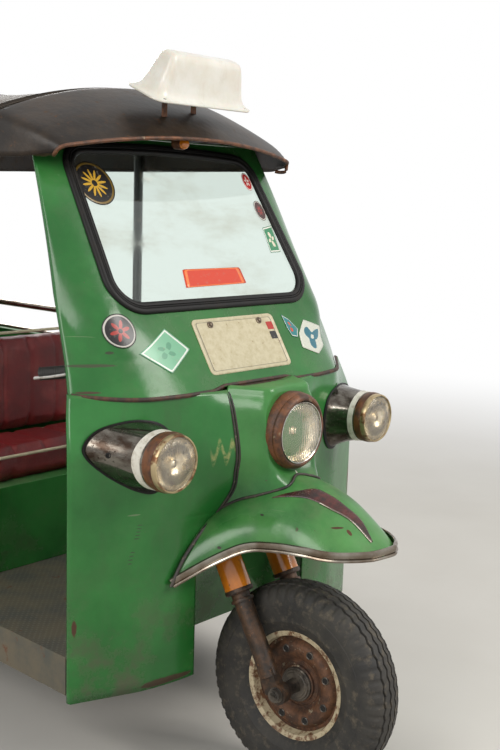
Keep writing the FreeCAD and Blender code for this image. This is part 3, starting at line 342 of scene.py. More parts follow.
def close_up(point, colour, roughness, height=None, depth=0.0005, **sockets):
    """Ends a tree in the usual shader: colour, roughness, a bump of the given depth in metres, and the rest."""
    if height is not None:
        sockets["Normal"] = point.put("Bump", Height=height, Distance=depth, Strength=1.0)
    point.put("OutputMaterial", Surface=point.put("BsdfPrincipled", Base_Color=colour, Roughness=roughness,
                                                  **sockets))


def worn(name, cloud, stops, tones, flakes=None, rough=(0, 0.5), grain=None, depth=0.0005, **sockets):
    """A worn finish. A cloudy value parts two tones between its stops, or mixes them all along without stops.
    Flakes are noise settings, stops, strength and colour. Roughness is the cloud's and the flakes' shares of
    it, then its base. The bump reads the cloud itself where grain is empty, and noise of its settings else."""
    material, point = new_finish(name)
    value = noise(point, *cloud)
    colour = (value.step(*stops) if stops else value).over(*tones)
    *shares, base = rough
    rises = [value * shares[0]] if shares[0] else []
    if flakes:
        settings, limits, strength, paint = flakes
        mask = noise(point, *settings).step(*limits)
        colour = (mask * strength if strength < 1 else mask).over(colour, paint)
        rises += [mask * share for share in shares[1:]]
    for rise in rises[::-1]:
        base = rise + base
    height = None if grain is None else noise(point, *grain) if grain else value
    close_up(point, colour, base, height, depth, **sockets)
    return material


def green_enamel(name, marks=(), fade=0.0, scrawl=False):
    """Brushed green enamel over old sheet steel: mottled tone, run-off streaks, settled dust, chips through to
    brown primer, fine dark specks. Marks are (centre, reach, colour) in millimetres. The scrawl is a yellowish
    smear by the nose, a sine line rubbed on by hand."""
    material, point = new_finish(name)
    tone = noise(point, 3.5, 6.0, 0.6)
    green = tone.step(0.3, 0.7).over((30, 94, 38), (48, 118, 54))
    cloud = noise(stretched(point, (14.0, 14.0, 1.6)), 1.0, 5.0, 0.62)
    streak = cloud.step(0.5, 0.72)
    green = (streak * 0.3).over(green, (62, 92, 56))
    dirt = noise(point, 9.0, 7.0, 0.7)
    low = axis_of(point, 2).step(0.62, 0.3)
    grime = (dirt.step(0.44, 0.66) * (low * 0.75 + 0.12)).least(1.0)
    green = grime.over(green, (74, 78, 58))
    up = axis_of(point.put("NewGeometry", out=1), 2)
    dust = up.step(0.35, 1.0) * (dirt.step(0.38, 0.66) * 0.35 + 0.08)
    green = dust.over(green, (116, 126, 92))
    if fade:
        green = (tone.step(0.3, 0.6) * fade).over(green, (92, 152, 82))
    chips = noise(point, 46.0, 6.0, 0.68, 0.4).step(0.695, 0.72)
    specks = noise(point, 260.0, 3.0, 0.6).step(0.72, 0.76)
    green = chips.over(green, (66, 42, 28))
    green = (specks * 0.7).over(green, (36, 46, 30))
    scratch = noise(stretched(point, (6.0, 6.0, 160.0)), 1.0, 3.0, 0.5).step(0.735, 0.75)
    green = (scratch * 0.45).over(green, (120, 142, 104))
    worn = chips.most(specks)
    if scrawl:
        side, rise = axis_of(point, 0) * 1000, axis_of(point, 2) * 1000
        line = (rise - 855 - (side * (1 / 30)).wave() * 20).size().step(19, 3)
        drawn = line * (side + 164).size().step(34, 24) * noise(point, 90.0, 4.0, 0.7).step(0.34, 0.6)
        green = (drawn * 0.7).over(green, (158, 156, 98))
    for centre, reach, colour in marks:
        mark = spot(point, centre, reach)
        green = mark.over(green, colour)
        worn = worn.most(mark)
    flat = up.step(0.5, 1.0)
    rough = dust * 0.35 + flat * 0.3 + grime * 0.25 + worn * 0.3 + cloud * 0.1 + 0.17
    height = noise(point, 38.0, 3.0, 0.5) * 1.0 - worn * 0.25 + noise(point, 4.0, 2.0) * 5.0
    close_up(point, green, rough.least(0.9), height, 0.0006, Coat_Weight=flat * -0.12 + 0.14, Coat_Roughness=0.12,
             Specular_IOR_Level=0.33)
    return material


apron_finish = green_enamel("apron_green", marks=[
    ((-384, 214, 726), (16, 40, 2), (96, 120, 84)), ((514, 280, 880), (16, 30, 46), (176, 160, 122)),
    ((520, 285, 640), (8, 30, 60), (72, 44, 28)), ((-518, 280, 470), (7, 30, 26), (70, 44, 28)),
    ((-300, 190, 297), (90, 30, 9), (66, 50, 34)), ((330, 195, 300), (130, 30, 14), (66, 50, 34)),
] + [((-371 - 2 * i, 212, 700 - 8 * i), (7, 40, 1.3), (46, 66, 40)) for i in range(5)]
  + [((-388 - 2 * i, 216, 636 - 9 * i), (6, 40, 1.5), (46, 66, 40)) for i in range(4)], scrawl=True)
nose_rows = np.array([
    # height, seam across, seam back, shoulder across, shoulder back, front
    (674, 156, 181, 142, 150, 10), (752, 133, 140, 110, 92, 2), (805, 133, 128, 97, 74, 18),
    (857, 133, 124, 98, 72, 32), (950, 133, 144, 98, 82, 40), (990, 130, 166, 94, 104, 46),
    (1004, 128, 180, 92, 118, 48),
])
apron_plate = 181.0
apron_half = 528.0
apron_foot, arch_foot, arch_top, apron_top = 285, 600, 700, 992
arch_radius, arch_middle = 266.3, 433.7
fold = 5.0


def nose_at(z):
    """The nose's five plan sizes at each height z, on smooth curves up the rows."""
    fine = smooth_line(nose_rows, 240)
    z = np.clip(z, fine[0, 0], fine[-1, 0])
    return [np.interp(z, fine[:, 0], fine[:, i]) for i in range(1, 6)]


def upper(z):
    """0 up to where the apron begins to narrow, and 1 at its top."""
    return np.clip((z - 880) / 125, 0, 1) ** 1.5


def apron_back(x, z):
    """How far back the apron's face lies: flat in the middle, bent back twice at the sides, more so towards the
    top, and drawn forward to the nose's seam inside the flat."""
    x = np.abs(x)
    seam_x, seam_y, _, _, _ = nose_at(z)
    lean = (apron_plate - seam_y) / (250.0 - seam_x)
    sides = 0.19 * soft_ramp(x - 250, 45) + (0.21 + 0.42 * upper(z)) * soft_ramp(x - 357, 24)
    return apron_plate + sides - lean * soft_ramp(250 - x, 30)


def belt_height(x):
    """Height of the seam between apron and windscreen panel: level, and climbing at the outer ends."""
    return 996 + 10 * np.clip((np.abs(x) - 390) / 104, 0, 1) ** 1.6


def stood(loop, y, x=0.0, z=0.0):
    """A loop of (across, up) stood up at depth y, moved by x and z."""
    return np.stack([loop[:, 0] + x, np.full(len(loop), y), loop[:, 1] + z], -1)


def wing_grid(side):
    """Rows up the wing; columns from the arch or the nose's seam out to the fold and round it."""
    z = np.concatenate([np.linspace(apron_foot, arch_foot, 12), np.linspace(606, arch_top, 18),
                        np.linspace(706, apron_top, 40)])[:, None]
    arch = np.sqrt(np.maximum(arch_radius ** 2 - np.maximum(z - arch_middle, 0) ** 2, 0))
    inner = np.where(z <= arch_foot, 208.0, np.where(z < arch_top, np.minimum(arch, 208.0), nose_at(z)[0] - 6))
    inner = np.where((z > 640) & (z < arch_top), np.minimum(inner, 150.0), inner)
    share = np.linspace(0, 1, 56)[None, :]
    edge = apron_half - 34 * upper(z) - fold
    x = inner + (edge - inner) * share
    y = apron_back(x, z)
    bend = np.radians([18, 40, 65, 90])[None, :]
    start_y = apron_back(edge, z)
    fold_x = edge + fold * np.sin(bend)
    fold_y = start_y + fold * (1 - np.cos(bend)) + 0.45 * (fold_x - edge)
    back_x = edge + fold - np.array([[0.0, 1.0]])
    back_y = start_y + np.array([[11.0, 15.0]])
    x = np.concatenate([x, fold_x, back_x], 1)
    y = np.concatenate([y, fold_y, back_y], 1)
    z = z + (belt_height(x) + 3 - apron_top) * np.clip((z - 900) / 92, 0, 1)
    return np.stack([side * x, y, z], -1)


def arch_line(half, top, foot, count):
    """Upright sides and a round top through (half, the arch's foot) and (0, top)."""
    rise = top - arch_foot
    radius = (half ** 2 + rise ** 2) / (2 * rise)
    angle = np.linspace(-1, 1, count) * math.asin(half / radius)
    rounded = np.stack([radius * np.sin(angle), top - radius + radius * np.cos(angle)], -1)
    return np.concatenate([[(-half, foot)], rounded, [(half, foot)]])


hands = ((-1, "right"), (1, "left"))
for side, hand in hands:
    stands = ("front_apron",) if side < 0 else ()
    piece("apron_wing_" + hand, [(wing_grid(side), "")], apron_finish, "body_paint", stands,
          inside=(side * 300, 900, 600), wall=2.5)
loop = arch_line(211.0, 703.0, 332.0, 48)
well_rows = [stood(loop, y) for y in (183, 200, 318)]
well_rows.append(well_rows[-1] * (0, 1, 0) + (0, 0, 332))
flat = np.linspace(-160, 160, 9)
plate_grid = np.stack([stood(np.column_stack([flat, flat * 0 + z]), 187.0) for z in (698, 850, apron_top)])
well_finish = green_enamel("well_green", fade=0.2)
piece("wheel_well", [(np.stack(well_rows), "")], well_finish, "body_paint", inside=(0, 260, 500), wall=-2.0)
piece("apron_centre_plate", [(plate_grid, "")], well_finish, "body_paint", inside=(0, 900, 850), wall=2.0)


# Nose: a pressed steel cowl over the steering head, rounded over the top edge to a level ledge, welded to the
# apron along two seams that a black bead covers. The headlamp's drum sits in a pit in its face.
def nose_grid():
    """Rows up the cowl, then over its top edge and back along the ledge; columns round from seam to seam: a
    straight flank, a bend and a round front. Round the headlamp's axis the face is pressed back to a pit."""
    pit_reach, pit_slope, lamp_height = 142, 50, 897
    z = np.linspace(674, apron_top, 90)
    seam_x, seam_y, side_x, side_y, front = nose_at(z)
    rows = []
    for sx, sy, hx, hy, fy, height in zip(seam_x, seam_y, side_x, side_y, front, z):
        flank = np.array([(sx, sy), (sx * 0.55 + hx * 0.45, sy * 0.55 + hy * 0.45), (hx, hy - 3),
                          (hx * 0.86, hy - (hy - fy) * 0.42), (hx * 0.6, hy - (hy - fy) * 0.76),
                          (hx * 0.3, hy - (hy - fy) * 0.95)])
        half_loop = np.vstack([flank * (-1, 1), [(0, fy)], flank[::-1]])
        line = smooth_line(half_loop, 81)
        from_lamp = np.hypot(line[:, 0], height - lamp_height)
        hollow = np.clip((pit_reach - from_lamp) / pit_slope, 0, 1)
        floor_y = 56 + 20 * np.clip((height - 810) / 180, 0, 1)
        line[:, 1] += np.maximum(floor_y - line[:, 1], 0) * hollow * hollow * (3 - 2 * hollow)
        rows.append(np.column_stack([line, np.full(81, height)]))
    edge = rows[-1]
    middle = np.array([0.0, 190.0, 0.0])
    target = stood(edge[:, [0, 2]] * (0.95, 0), 196.0, z=1001.0)
    for turn_by in (0.4, 0.8, 1.2, math.pi / 2):
        pulled = edge + (middle - edge) * (1, 1, 0) * (0.085 * (1 - math.cos(turn_by)))
        rows.append(pulled + (0, 0, 18 * math.sin(turn_by)))
    turned_over = rows[-1]
    for share in (0.35, 0.7, 1.0):
        rows.append(turned_over + (target - turned_over) * share)
    return np.stack(rows)


# The second mark lays dark brown over the whole ledge on the nose's top: painted shade.
nose_finish = green_enamel("nose_green", fade=0.35, marks=[
    ((6, 34, 790), (3, 60, 9), (196, 200, 180)), ((0, 190, 1010), (150, 40, 14), (60, 44, 30)),
])
piece("nose_cowl_skin", [(nose_grid(), "")], nose_finish, "body_paint", ("nose_cowl",),
      inside=(0, 160, 850), wall=2.0)
bead_finish, point = new_finish("black_bead")
grey = noise(point, 30.0).step(0.35, 0.7).over((24, 22, 20), (58, 50, 42))
dusty = noise(point, 120.0).step(0.6, 0.75).over(grey, (104, 96, 78))
close_up(point, dusty, noise(point, 60.0) * 0.3 + 0.4, noise(point, 200.0), 0.0004)
heights = np.linspace(680, 994, 60)
seams = nose_at(heights)
for side, hand in hands:
    for step, name in ((0.0, "outer"), (6.2, "inner")):
        line = np.stack([side * (seams[0] + 2 - step), seams[1] - 1.0 - step * 0.5, heights], -1)
        piece("nose_bead_%s_%s" % (name, hand), [along(line, round_bar(3.0, 12), (side, 0.3, 0))],
              bead_finish, "seal_rubber")


# Front mudguard: a pressed steel hood over the wheel that grows out of the nose, with a doubled bead of
# tarnished bright trim round its open edge and a dark rubber strip along the crest, its red-brown partly a
# painted reflection.
mudguard_rows = np.array([
    # back, half width, edge height, crest height
    (181, 290, 540, 728), (130, 226, 586, 766), (61, 172, 630, 784), (-11, 150, 645, 779),
    (-84, 135, 650, 756), (-155, 114, 649, 712), (-212, 66, 652, 672), (-237, 18, 654, 659),
])


def ridge(x, half):
    """Height of the ridge on the crest, which fades out where the hood is narrow."""
    return 3.0 * np.exp(-(x / 26.0) ** 2) * np.minimum(half / 120.0, 1)


def mudguard_grid(rows):
    """Rows back along the hood, each an arc through both edges and the crest, with a faint ridge on the crest."""
    y, half, edge, crest = rows.T[:, :, None]
    rise = np.maximum(crest - edge, 1.0)
    radius = (half ** 2 + rise ** 2) / (2 * rise)
    quarter = np.arcsin(np.minimum(half / radius, 1))
    angle = np.where(rise > half, math.pi - quarter, quarter) * np.linspace(-1, 1, 57)[None, :]
    x = radius * np.sin(angle)
    return np.stack([x, y + 0 * x, crest - radius + radius * np.cos(angle) + ridge(x, half)], -1)


hood_rows = smooth_line(mudguard_rows, 90)
mudguard_finish = green_enamel("mudguard_green", fade=0.6, marks=[
    ((-65, -138, 708), (15, 20, 2.5), (70, 48, 30)), ((-50, -160, 698), (5, 9, 14), (84, 54, 34)),
    ((-202, 109, 630), (4, 9, 4), (44, 40, 28)), ((-135, 37, 715), (4, 6, 3), (40, 40, 28)),
])
piece("front_mudguard_skin", [(mudguard_grid(hood_rows), "")], mudguard_finish, "body_paint",
      ("front_mudguard",), inside=(0, 0, 500), wall=2.0)
edge_path = hood_rows[:, [1, 0, 2]]
edge_path = np.concatenate([edge_path * (-1, 1, 1), edge_path[::-1]])
edge_path = smooth_line(edge_path[::6], 220)
trim_finish, point = new_finish("tarnished_trim")
spread = noise(point, 12.0, 5.0, 0.6)
metal = spread.step(0.35, 0.7).over((150, 144, 134), (104, 90, 76))
rust = noise(point, 70.0, 5.0, 0.7).step(0.68, 0.76)
metal = rust.over(metal, (84, 54, 36))
close_up(point, metal, spread * 0.3 + rust * 0.3 + 0.08, noise(point, 90.0, 4.0), 0.0002, Metallic=1.0 - rust)
bead = [(-3, -10), (2, -12), (6, -11), (7.5, -7.5), (6, -4.5), (3, -3.5), (5, -1), (5.5, 6), (4.5, 11), (1, 13),
        (-3, 12)]
outline_path = edge_path + (0, 0, 4)
piece("mudguard_edge_trim", [along(outline_path, bead)], trim_finish, "chrome_trim",
      ("mudguard_trim",))


def on_hood(x, y, lift):
    """Point on the hood at (x, y), raised by the lift."""
    half, edge, top = [np.interp(-y, -hood_rows[:, 0], hood_rows[:, i]) for i in (1, 2, 3)]
    radius = (half ** 2 + (top - edge) ** 2) / (2 * (top - edge))
    return np.stack([x, y, top - radius + np.sqrt(radius ** 2 - x ** 2) + ridge(x, half) + lift], -1)


far_edge = smooth_line([(-101, 36), (-63, -3), (-24, -33), (-14, -62), (-3, -112), (6, -153), (-14, -203)], 60)
near_edge = smooth_line([(-101, 36), (-82, -2), (-63, -41), (-54, -70), (-44, -102), (-24, -146), (-20, -203)], 60)
across = np.linspace(0, 1, 11)[:, None, None]
leaf = far_edge * (1 - across) + near_edge * across
rise = 0.3 + 1.5 * np.clip(np.sin(math.pi * across[..., 0]) * 3, 0, 1)
# The crest strip's dark red-brown is partly its own colour and partly a painted reflection of the dark surround seen
# at the crest.
strip_finish, point = new_finish("crest_strip_with_reflection")
strip_tone_and_reflection = noise(point, 24.0, 5.0, 0.6).step(0.35, 0.65).over((36, 18, 14), (84, 34, 28))
close_up(point, strip_tone_and_reflection, noise(point, 60.0) * 0.3 + 0.12, noise(point, 150.0), 0.0003)
piece("mudguard_crest_strip_with_reflection", [(on_hood(leaf[..., 0], leaf[..., 1], rise), "")], strip_finish, "seal_rubber",
      inside=(0, 0, 500), wall=0.8)
edge_bead = on_hood(near_edge[30:, 0], near_edge[30:, 1], 1.2)
piece("mudguard_crest_bead", [along(edge_bead, round_bar(2.4, 12))], trim_finish, "chrome_trim")
joint = np.array([(-156, 181, 672), (-148, 167, 700), (-128, 125, 730), (-106, 75, 750), (-75, 32, 768),
                  (-56, 22, 776), (-37, 26, 783), (-18, 36, 788), (0, 41, 790)])
joint = np.vstack([joint, joint[-2::-1] * (-1, 1, 1)])
piece("mudguard_nose_bead", [along(smooth_line(joint, 140), round_bar(3.6, 12))], bead_finish, "seal_rubber")
rear_edge = np.array([(-297, 177, 538), (-259, 174, 599), (-203, 171, 655), (-157, 172, 681)])
for side, hand in ((1, "right"), (-1, "left")):
    line = smooth_line(rear_edge * (side, 1, 1), 60)
    piece("mudguard_rear_bead_" + hand, [along(line, round_bar(4.8, 12), (0, -1, 0))], bead_finish,
          "seal_rubber")


# Windscreen panel: one pressed sheet round the window, flat in the middle, bent back at the sides and folded
# at its edges. It leans back over the apron and is welded to it behind a rubber welt.
screen_lean = math.radians(32.3)
screen_up = np.array([0.0, math.sin(screen_lean), math.cos(screen_lean)])
screen_out = np.array([0.0, -math.cos(screen_lean), math.sin(screen_lean)])
belt, panel_rise = 990.0, 614.0
window_foot, window_height = 1199.0, 363.0
window_rise = window_height / math.cos(screen_lean)
panel_foot, panel_taper = 493.0, 88.0


def leaning(z):
    """How far back the window's plane lies at a height."""
    return 183 + (z - belt) * math.tan(screen_lean)


def plain_screen(x, z):
    """How far back the panel's face lies: its lean, and two soft bends at the sides."""
    share = (z - belt) / panel_rise
    crease = 350 - 20 * share
    back = 17 - 9 * share
    first = back / (0.3 * crease)
    second = (115 - 103 * share - back) / (panel_foot - panel_taper * share - crease)
    x = np.abs(x)
    bends = first * soft_ramp(x - 0.7 * crease, 60) + (second - first) * soft_ramp(x - crease, 66)
    return leaning(z) + bends


def screen_back(x, z):
    """The panel's face drawn to the apron's top edge along the belt."""
    foot = belt_height(x)
    gap = plain_screen(x, foot) - apron_back(x * 0 + np.maximum(np.abs(x), 250), foot) - 0.3 * (foot - belt)
    return plain_screen(x, z) - gap * np.clip(1 - (z - foot) / 140, 0, 1) ** 2


def panel_face(x, z):
    """How far back the sheet lies: the window's plane, passing within 110 into the bent face."""
    aside = np.maximum(np.abs(x) - (350 - (z - window_foot) * 16 / window_height), 0)
    off = np.maximum(np.maximum(1190 - z, z - 1570), 0)
    blend = np.clip(np.hypot(aside, off) / 110, 0, 1) ** 1.2
    return leaning(z) * (1 - blend) + screen_back(x, z) * blend


def running_length(points):
    """Length of a line from its start to each of its points."""
    return np.concatenate([[0], np.cumsum(np.linalg.norm(np.diff(points, axis=0), axis=1))])


def even_loop(points, count):
    """Points at even lengths round a closed line."""
    points = np.vstack([points, points[:1]])
    length = running_length(points)
    at = np.linspace(0, length[-1], count, endpoint=False)
    return np.stack([np.interp(at, length, points[:, i]) for i in range(points.shape[1])], -1)


def rounded_loop(half, rise, corner, count=96):
    """Rectangle of the given half sizes with quarter circles at its corners, at even lengths."""
    turn_by = np.linspace(0, math.pi / 2, 9)
    bends = []
    for i, (sx, sy) in enumerate(((1, 1), (-1, 1), (-1, -1), (1, -1))):
        angle = turn_by + i * math.pi / 2
        bends.append(np.stack([sx * (half - corner) + corner * np.cos(angle),
                               sy * (rise - corner) + corner * np.sin(angle)], -1))
    return even_loop(np.concatenate(bends), count)


def window_loop(grow, count=256):
    """Window outline on the panel's plane, as (across, up the slope): near upright sides, round corners and a
    top that arches by 10."""
    low, high, corner, wide = 342.0 + grow, 326.0 + grow, 62.0, 80.0
    top, foot = window_rise + grow, -grow
    angle = np.linspace(0, math.pi / 2, 12)
    bends = [np.stack([low - wide + wide * np.sin(angle), foot + wide - wide * np.cos(angle)], -1),
             np.stack([high - corner + corner * np.cos(angle), top - corner + corner * np.sin(angle)], -1)]
    arch = np.linspace(high - corner, 0, 12)[1:]
    bends.append(np.stack([arch, top + 10 * (1 - (arch / (high - corner)) ** 2)], -1))
    right = np.concatenate(bends)
    return even_loop(np.concatenate([right, right[::-1][1:] * (-1, 1)]), count)


def on_screen(x, u, out=0.0):
    """Point on the panel's plane: x across, u up the slope from the window's foot, and out along its normal."""
    x, u = np.asarray(x, float), np.asarray(u, float)
    origin = np.array([0.0, leaning(window_foot), window_foot])
    return origin + x[..., None] * (1, 0, 0) + u[..., None] * screen_up + out * screen_out


def panel_grid():
    """Rows from the window's edge out to the panel's edge and round its fold; columns round the window."""
    hole = window_loop(7.0)
    inner = on_screen(*hole.T)
    centre = np.array([0.0, 1375.0])
    ray = inner[:, [0, 2]] - centre
    narrow, panel_top = panel_taper / panel_rise, belt + panel_rise
    with np.errstate(divide="ignore"):
        down = np.where(ray[:, 1] < 0, (belt - centre[1]) / ray[:, 1], np.inf)
        up = np.where(ray[:, 1] > 0, (panel_top - centre[1]) / ray[:, 1], np.inf)
    spread = np.abs(ray[:, 0]) + narrow * ray[:, 1]
    aside = np.where(spread > 1, (panel_foot - narrow * (centre[1] - belt)) / np.maximum(spread, 1), np.inf)
    outer = centre + ray * np.minimum(np.minimum(down, up), aside)[:, None]
    for corner in ((-panel_foot, belt), (panel_foot, belt), (-405, panel_top), (405, panel_top)):
        towards = np.array(corner) - centre
        match = (ray @ towards) / np.linalg.norm(ray, axis=1)
        outer[np.argmax(match)] = corner
    low = outer[:, 1] < belt + 1.0
    outer[low, 1] = belt_height(outer[low, 0])
    side = np.abs(outer[:, 0]) >= panel_foot - 1
    outer[side, 1] = np.maximum(outer[side, 1], belt_height(outer[side, 0]))
    rows = []
    for share in np.linspace(0, 1, 30):
        flat = inner[:, [0, 2]] * (1 - share) + outer * share
        rows.append(np.column_stack([flat[:, 0], panel_face(flat[:, 0], flat[:, 1]), flat[:, 1]]))
    inward = np.column_stack([-np.sign(rows[-1][:, 0]), np.zeros(len(hole)), np.zeros(len(hole))])
    rows[-1] = rows[-1] + inward * 1.5
    rows.append(rows[-1] + inward * -1.5 + (0, 3, 0))
    rows.append(rows[-1] + (0, 8, 0))
    return np.stack(rows)


panel_finish = green_enamel("panel_green", marks=[
    ((-395, 520, 1560), (36, 80, 20), (112, 104, 78)), ((-380, 540, 1590), (40, 80, 12), (70, 50, 34)),
    ((-430, 330, 1070), (60, 80, 4), (56, 66, 42)), ((-395, 300, 1098), (9, 40, 4), (50, 62, 40)),
    ((-455, 300, 1012), (30, 40, 3), (66, 50, 34)), ((440, 300, 1012), (30, 40, 3), (66, 50, 34)),
])
header = np.column_stack([np.linspace(-384, 384, 9), np.full(9, 1606.0)])
header = np.stack([stood(header, y) for y in (573, 600, 637)])
piece("windscreen_panel_skin", [panel_grid(), (header, "")], panel_finish, "body_paint",
      ("windscreen_panel",), inside=(0, 900, 1150), wall=2.0)
rail_x = np.linspace(-492, 492, 280)
rail_y = np.maximum(apron_back(np.maximum(np.abs(rail_x), 250), belt_height(rail_x)), 181.0)
over_nose = np.clip((158 - np.abs(rail_x)) / 44, 0, 1)
rail = np.stack([rail_x, rail_y - 1.5 + 6 * over_nose, belt_height(rail_x) + 1 + 8 * over_nose], -1)
flat_bead = [(5.2, -3), (4.8, 2.0), (1.5, 4.6), (-1.5, 4.6), (-4.8, 2.0), (-5.2, -3)]
welt_finish = worn("rusty_welt", (40.0, 6.0, 0.7), (0.4, 0.65), ((40, 27, 18), (78, 48, 30)), rough=(0, 0.62),
                   grain=(120.0, 4.0), depth=0.0006)
piece("belt_welt", [along(rail, flat_bead, (0, -1, 0.2))], welt_finish, "seal_rubber")


# Windscreen seal: a black rubber section with two lips and a filler strip in its groove, pressed over the
# edges of panel and glass.
seal_finish, point = new_finish("windscreen_rubber")
chalk = noise(point, 16.0, 6.0, 0.65).step(0.5, 0.75)
black = (chalk * 0.4).over((16, 15, 14), (58, 52, 46))
close_up(point, black, chalk * 0.2 + 0.5, noise(point, 240.0), 0.0003, Specular_IOR_Level=0.25)
lips = [(-16, -2), (-16, 3), (-13, 7), (-8, 8.5), (-4, 7.6), (-3, 5.4), (3, 5.4), (4, 7.6), (8, 8.5), (13, 7), (16, 3),
        (16, -2)]
filler = [(-3.2, 4), (-2.2, 7.2), (0, 8.2), (2.2, 7.2), (3.2, 4)]
mid_loop = on_screen(*window_loop(8.0, 320).T)
for name, section, stands in (("windscreen_seal_strip", lips, ("windscreen_seal",)),
                              ("windscreen_filler", filler, ())):
    piece(name, [(along(mid_loop, section, screen_out, True), "rc")], seal_finish, "seal_rubber", stands)


# Windscreen glass: one flat toughened pane, dusty towards its edges.
glass_finish, point = new_finish("windscreen_pane")
smear = noise(stretched(point, (3.0, 3.0, 8.0)), 1.0, 6.0, 0.65)
haze = smear.step(0.45, 0.8)
close_up(point, haze.over((225, 238, 230), (200, 205, 190)), haze * 0.12 + 0.02,
         Transmission_Weight=1.0, IOR=1.45)


def restyle(finish, *names):
    """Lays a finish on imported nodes."""
    for name in names:
        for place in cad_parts[name].material_slots:
            place.material = finish


restyle(glass_finish, "windscreen_glass")


# Stickers: thin printed vinyl, bare of lettering, rubbed down on the panel and on the glass.
def lay_of(point):
    """A sticker's own two measures: share of the way round, and share of the way out from its middle. The last
    of nine rows stands at eight ninths in the layer."""
    lay = point.put("TexCoord", out=2)
    return axis_of(lay, 0), axis_of(lay, 1) * 1.125


def printed(name, field, edge, motif, petals=0, reach=0.6):
    """Printed vinyl: a field colour, an edge line, and a plain motif of rings or petals round the middle."""
    material, point = new_finish(name)
    round_by, out = lay_of(point)
    colour = (out > 0.86).over(field, edge)
    colour = (out > 0.95).over(colour, field)
    if petals:
        leaf = (round_by * petals).wave() * 0.22 + reach - out
        colour = (leaf > 0.0).over(colour, motif)
        colour = (out < 0.14).over(colour, field)
    rubbed = noise(point, 90.0, 5.0, 0.7).step(0.58, 0.72)
    colour = (rubbed * 0.5).over(colour, (150, 146, 130))
    close_up(point, colour, rubbed * 0.3 + 0.3, noise(point, 400.0), 0.0001)
    return material


def sticker(name, loop, place_at, finish):
    """Rows from the middle out to the loop, each point set by the surface that carries the sticker."""
    middle = loop.mean(0)
    rows = [middle + (loop - middle) * share for share in np.linspace(0, 1, 9)]
    grid = np.stack([place_at(*row.T) for row in rows])
    piece(name, [grid], finish, "plate_enamel", inside=(0, 900, 1200), wall=0.4)


def on_panel(x, z):
    """A hair in front of the panel's face."""
    return np.stack([x, panel_face(x, z) - 1.8, z], -1)


def on_glass(x, u):
    return on_screen(x, u, 1.0)


def oval(x, y, half, rise):
    """Oval loop round (x, y)."""
    angle = np.linspace(0, 2 * math.pi, 48, endpoint=False)
    return np.stack([x + half * np.cos(angle), y + rise * np.sin(angle)], -1)


def slab(corners, count=64):
    """Loop through the corners."""
    return even_loop(np.array(corners, float), count)


sticker("panel_round_sticker", oval(-364, 1147, 41, 39), on_panel,
        printed("dark_round_print", (26, 22, 24), (190, 186, 178), (160, 52, 44), 6, 0.42))
sticker("panel_diamond_sticker", slab([(-235, 1145), (-179, 1094), (-263, 1046), (-331, 1094)]), on_panel,
        printed("mint_print", (112, 172, 136), (226, 230, 220), (80, 142, 110), 4, 0.3))
sticker("panel_side_sticker", slab([(246, 1100), (290, 1134), (372, 1110), (356, 1062), (300, 1044), (236, 1066)]),
        on_panel, printed("wave_print", (206, 208, 194), (206, 208, 194), (24, 104, 120), 3, 0.52))
sticker("panel_drop_sticker", slab([(204, 1152), (226, 1140), (250, 1112), (236, 1092), (214, 1096), (206, 1118)]),
        on_panel, printed("drop_print", (40, 120, 124), (206, 208, 194), (196, 74, 48), 2, 0.3))
sticker("glass_dark_sticker", oval(-274, 338, 60, 62), on_glass,
        printed("sun_print", (24, 22, 22), (120, 96, 40), (204, 160, 50), 12, 0.42))
sticker("glass_red_sticker", slab([(-108, 40), (120, 44), (118, 92), (-96, 92)]), on_glass,
        printed("red_print", (206, 62, 34), (234, 120, 60), (0, 0, 0)))
sticker("glass_upper_sticker", oval(299, 364, 17, 29), on_glass,
        printed("ring_print", (186, 40, 40), (236, 232, 224), (232, 228, 220), 5, 0.35))
sticker("glass_lower_sticker", oval(302, 269, 20, 32), on_glass,
        printed("ring_print_worn", (70, 44, 42), (206, 202, 192), (170, 60, 54), 8, 0.3))
sticker("glass_square_sticker", slab([(281, 213), (324, 221), (315, 135), (272, 134)]), on_glass,
        printed("leaf_print", (60, 132, 92), (236, 232, 224), (222, 214, 190), 4, 0.36))


# Number plate: a pressed aluminium plate, painted cream, with a raised rim and two bolts. It is blank.
plate_finish, point = new_finish("plate_cream")
_, out = lay_of(point)
wear = noise(point, 60.0, 6.0, 0.7)
cream = wear.step(0.3, 0.75).over((200, 190, 160), (180, 168, 134))
line = (out.step(0.335, 0.342) * out.step(0.369, 0.362))
cream = (line * 0.75).over(cream, (74, 70, 62))
rust = wear.step(0.66, 0.7)
cream = rust.over(cream, (110, 66, 38))
close_up(point, cream, wear * 0.3 + 0.3, wear, 0.0004)


def plate_rise(x, z, lift=0.0):
    """Point on the front plate: across, the height it has before the panel leans it, and out."""
    return (12.0, 0.0, 0.0) + on_screen(x, z - (window_foot - 1093) / math.cos(screen_lean), lift)


def pressed(half, rise, corner, steps, inmost, lift, lay, count=160):
    """Rows of a pressed plate: rounded loops at its steps of (inset, lift), then loops that shrink from the
    inmost share to the centre at one lift. lay puts a loop and its lift in place."""
    loops = [(rounded_loop(half - inset, rise - inset, corner - inset, count), at) for inset, at in steps]
    loops += [(loops[-1][0] * share, lift) for share in np.linspace(inmost, 0.0, 12)]
    return np.stack([lay(loop, at) for loop, at in loops])


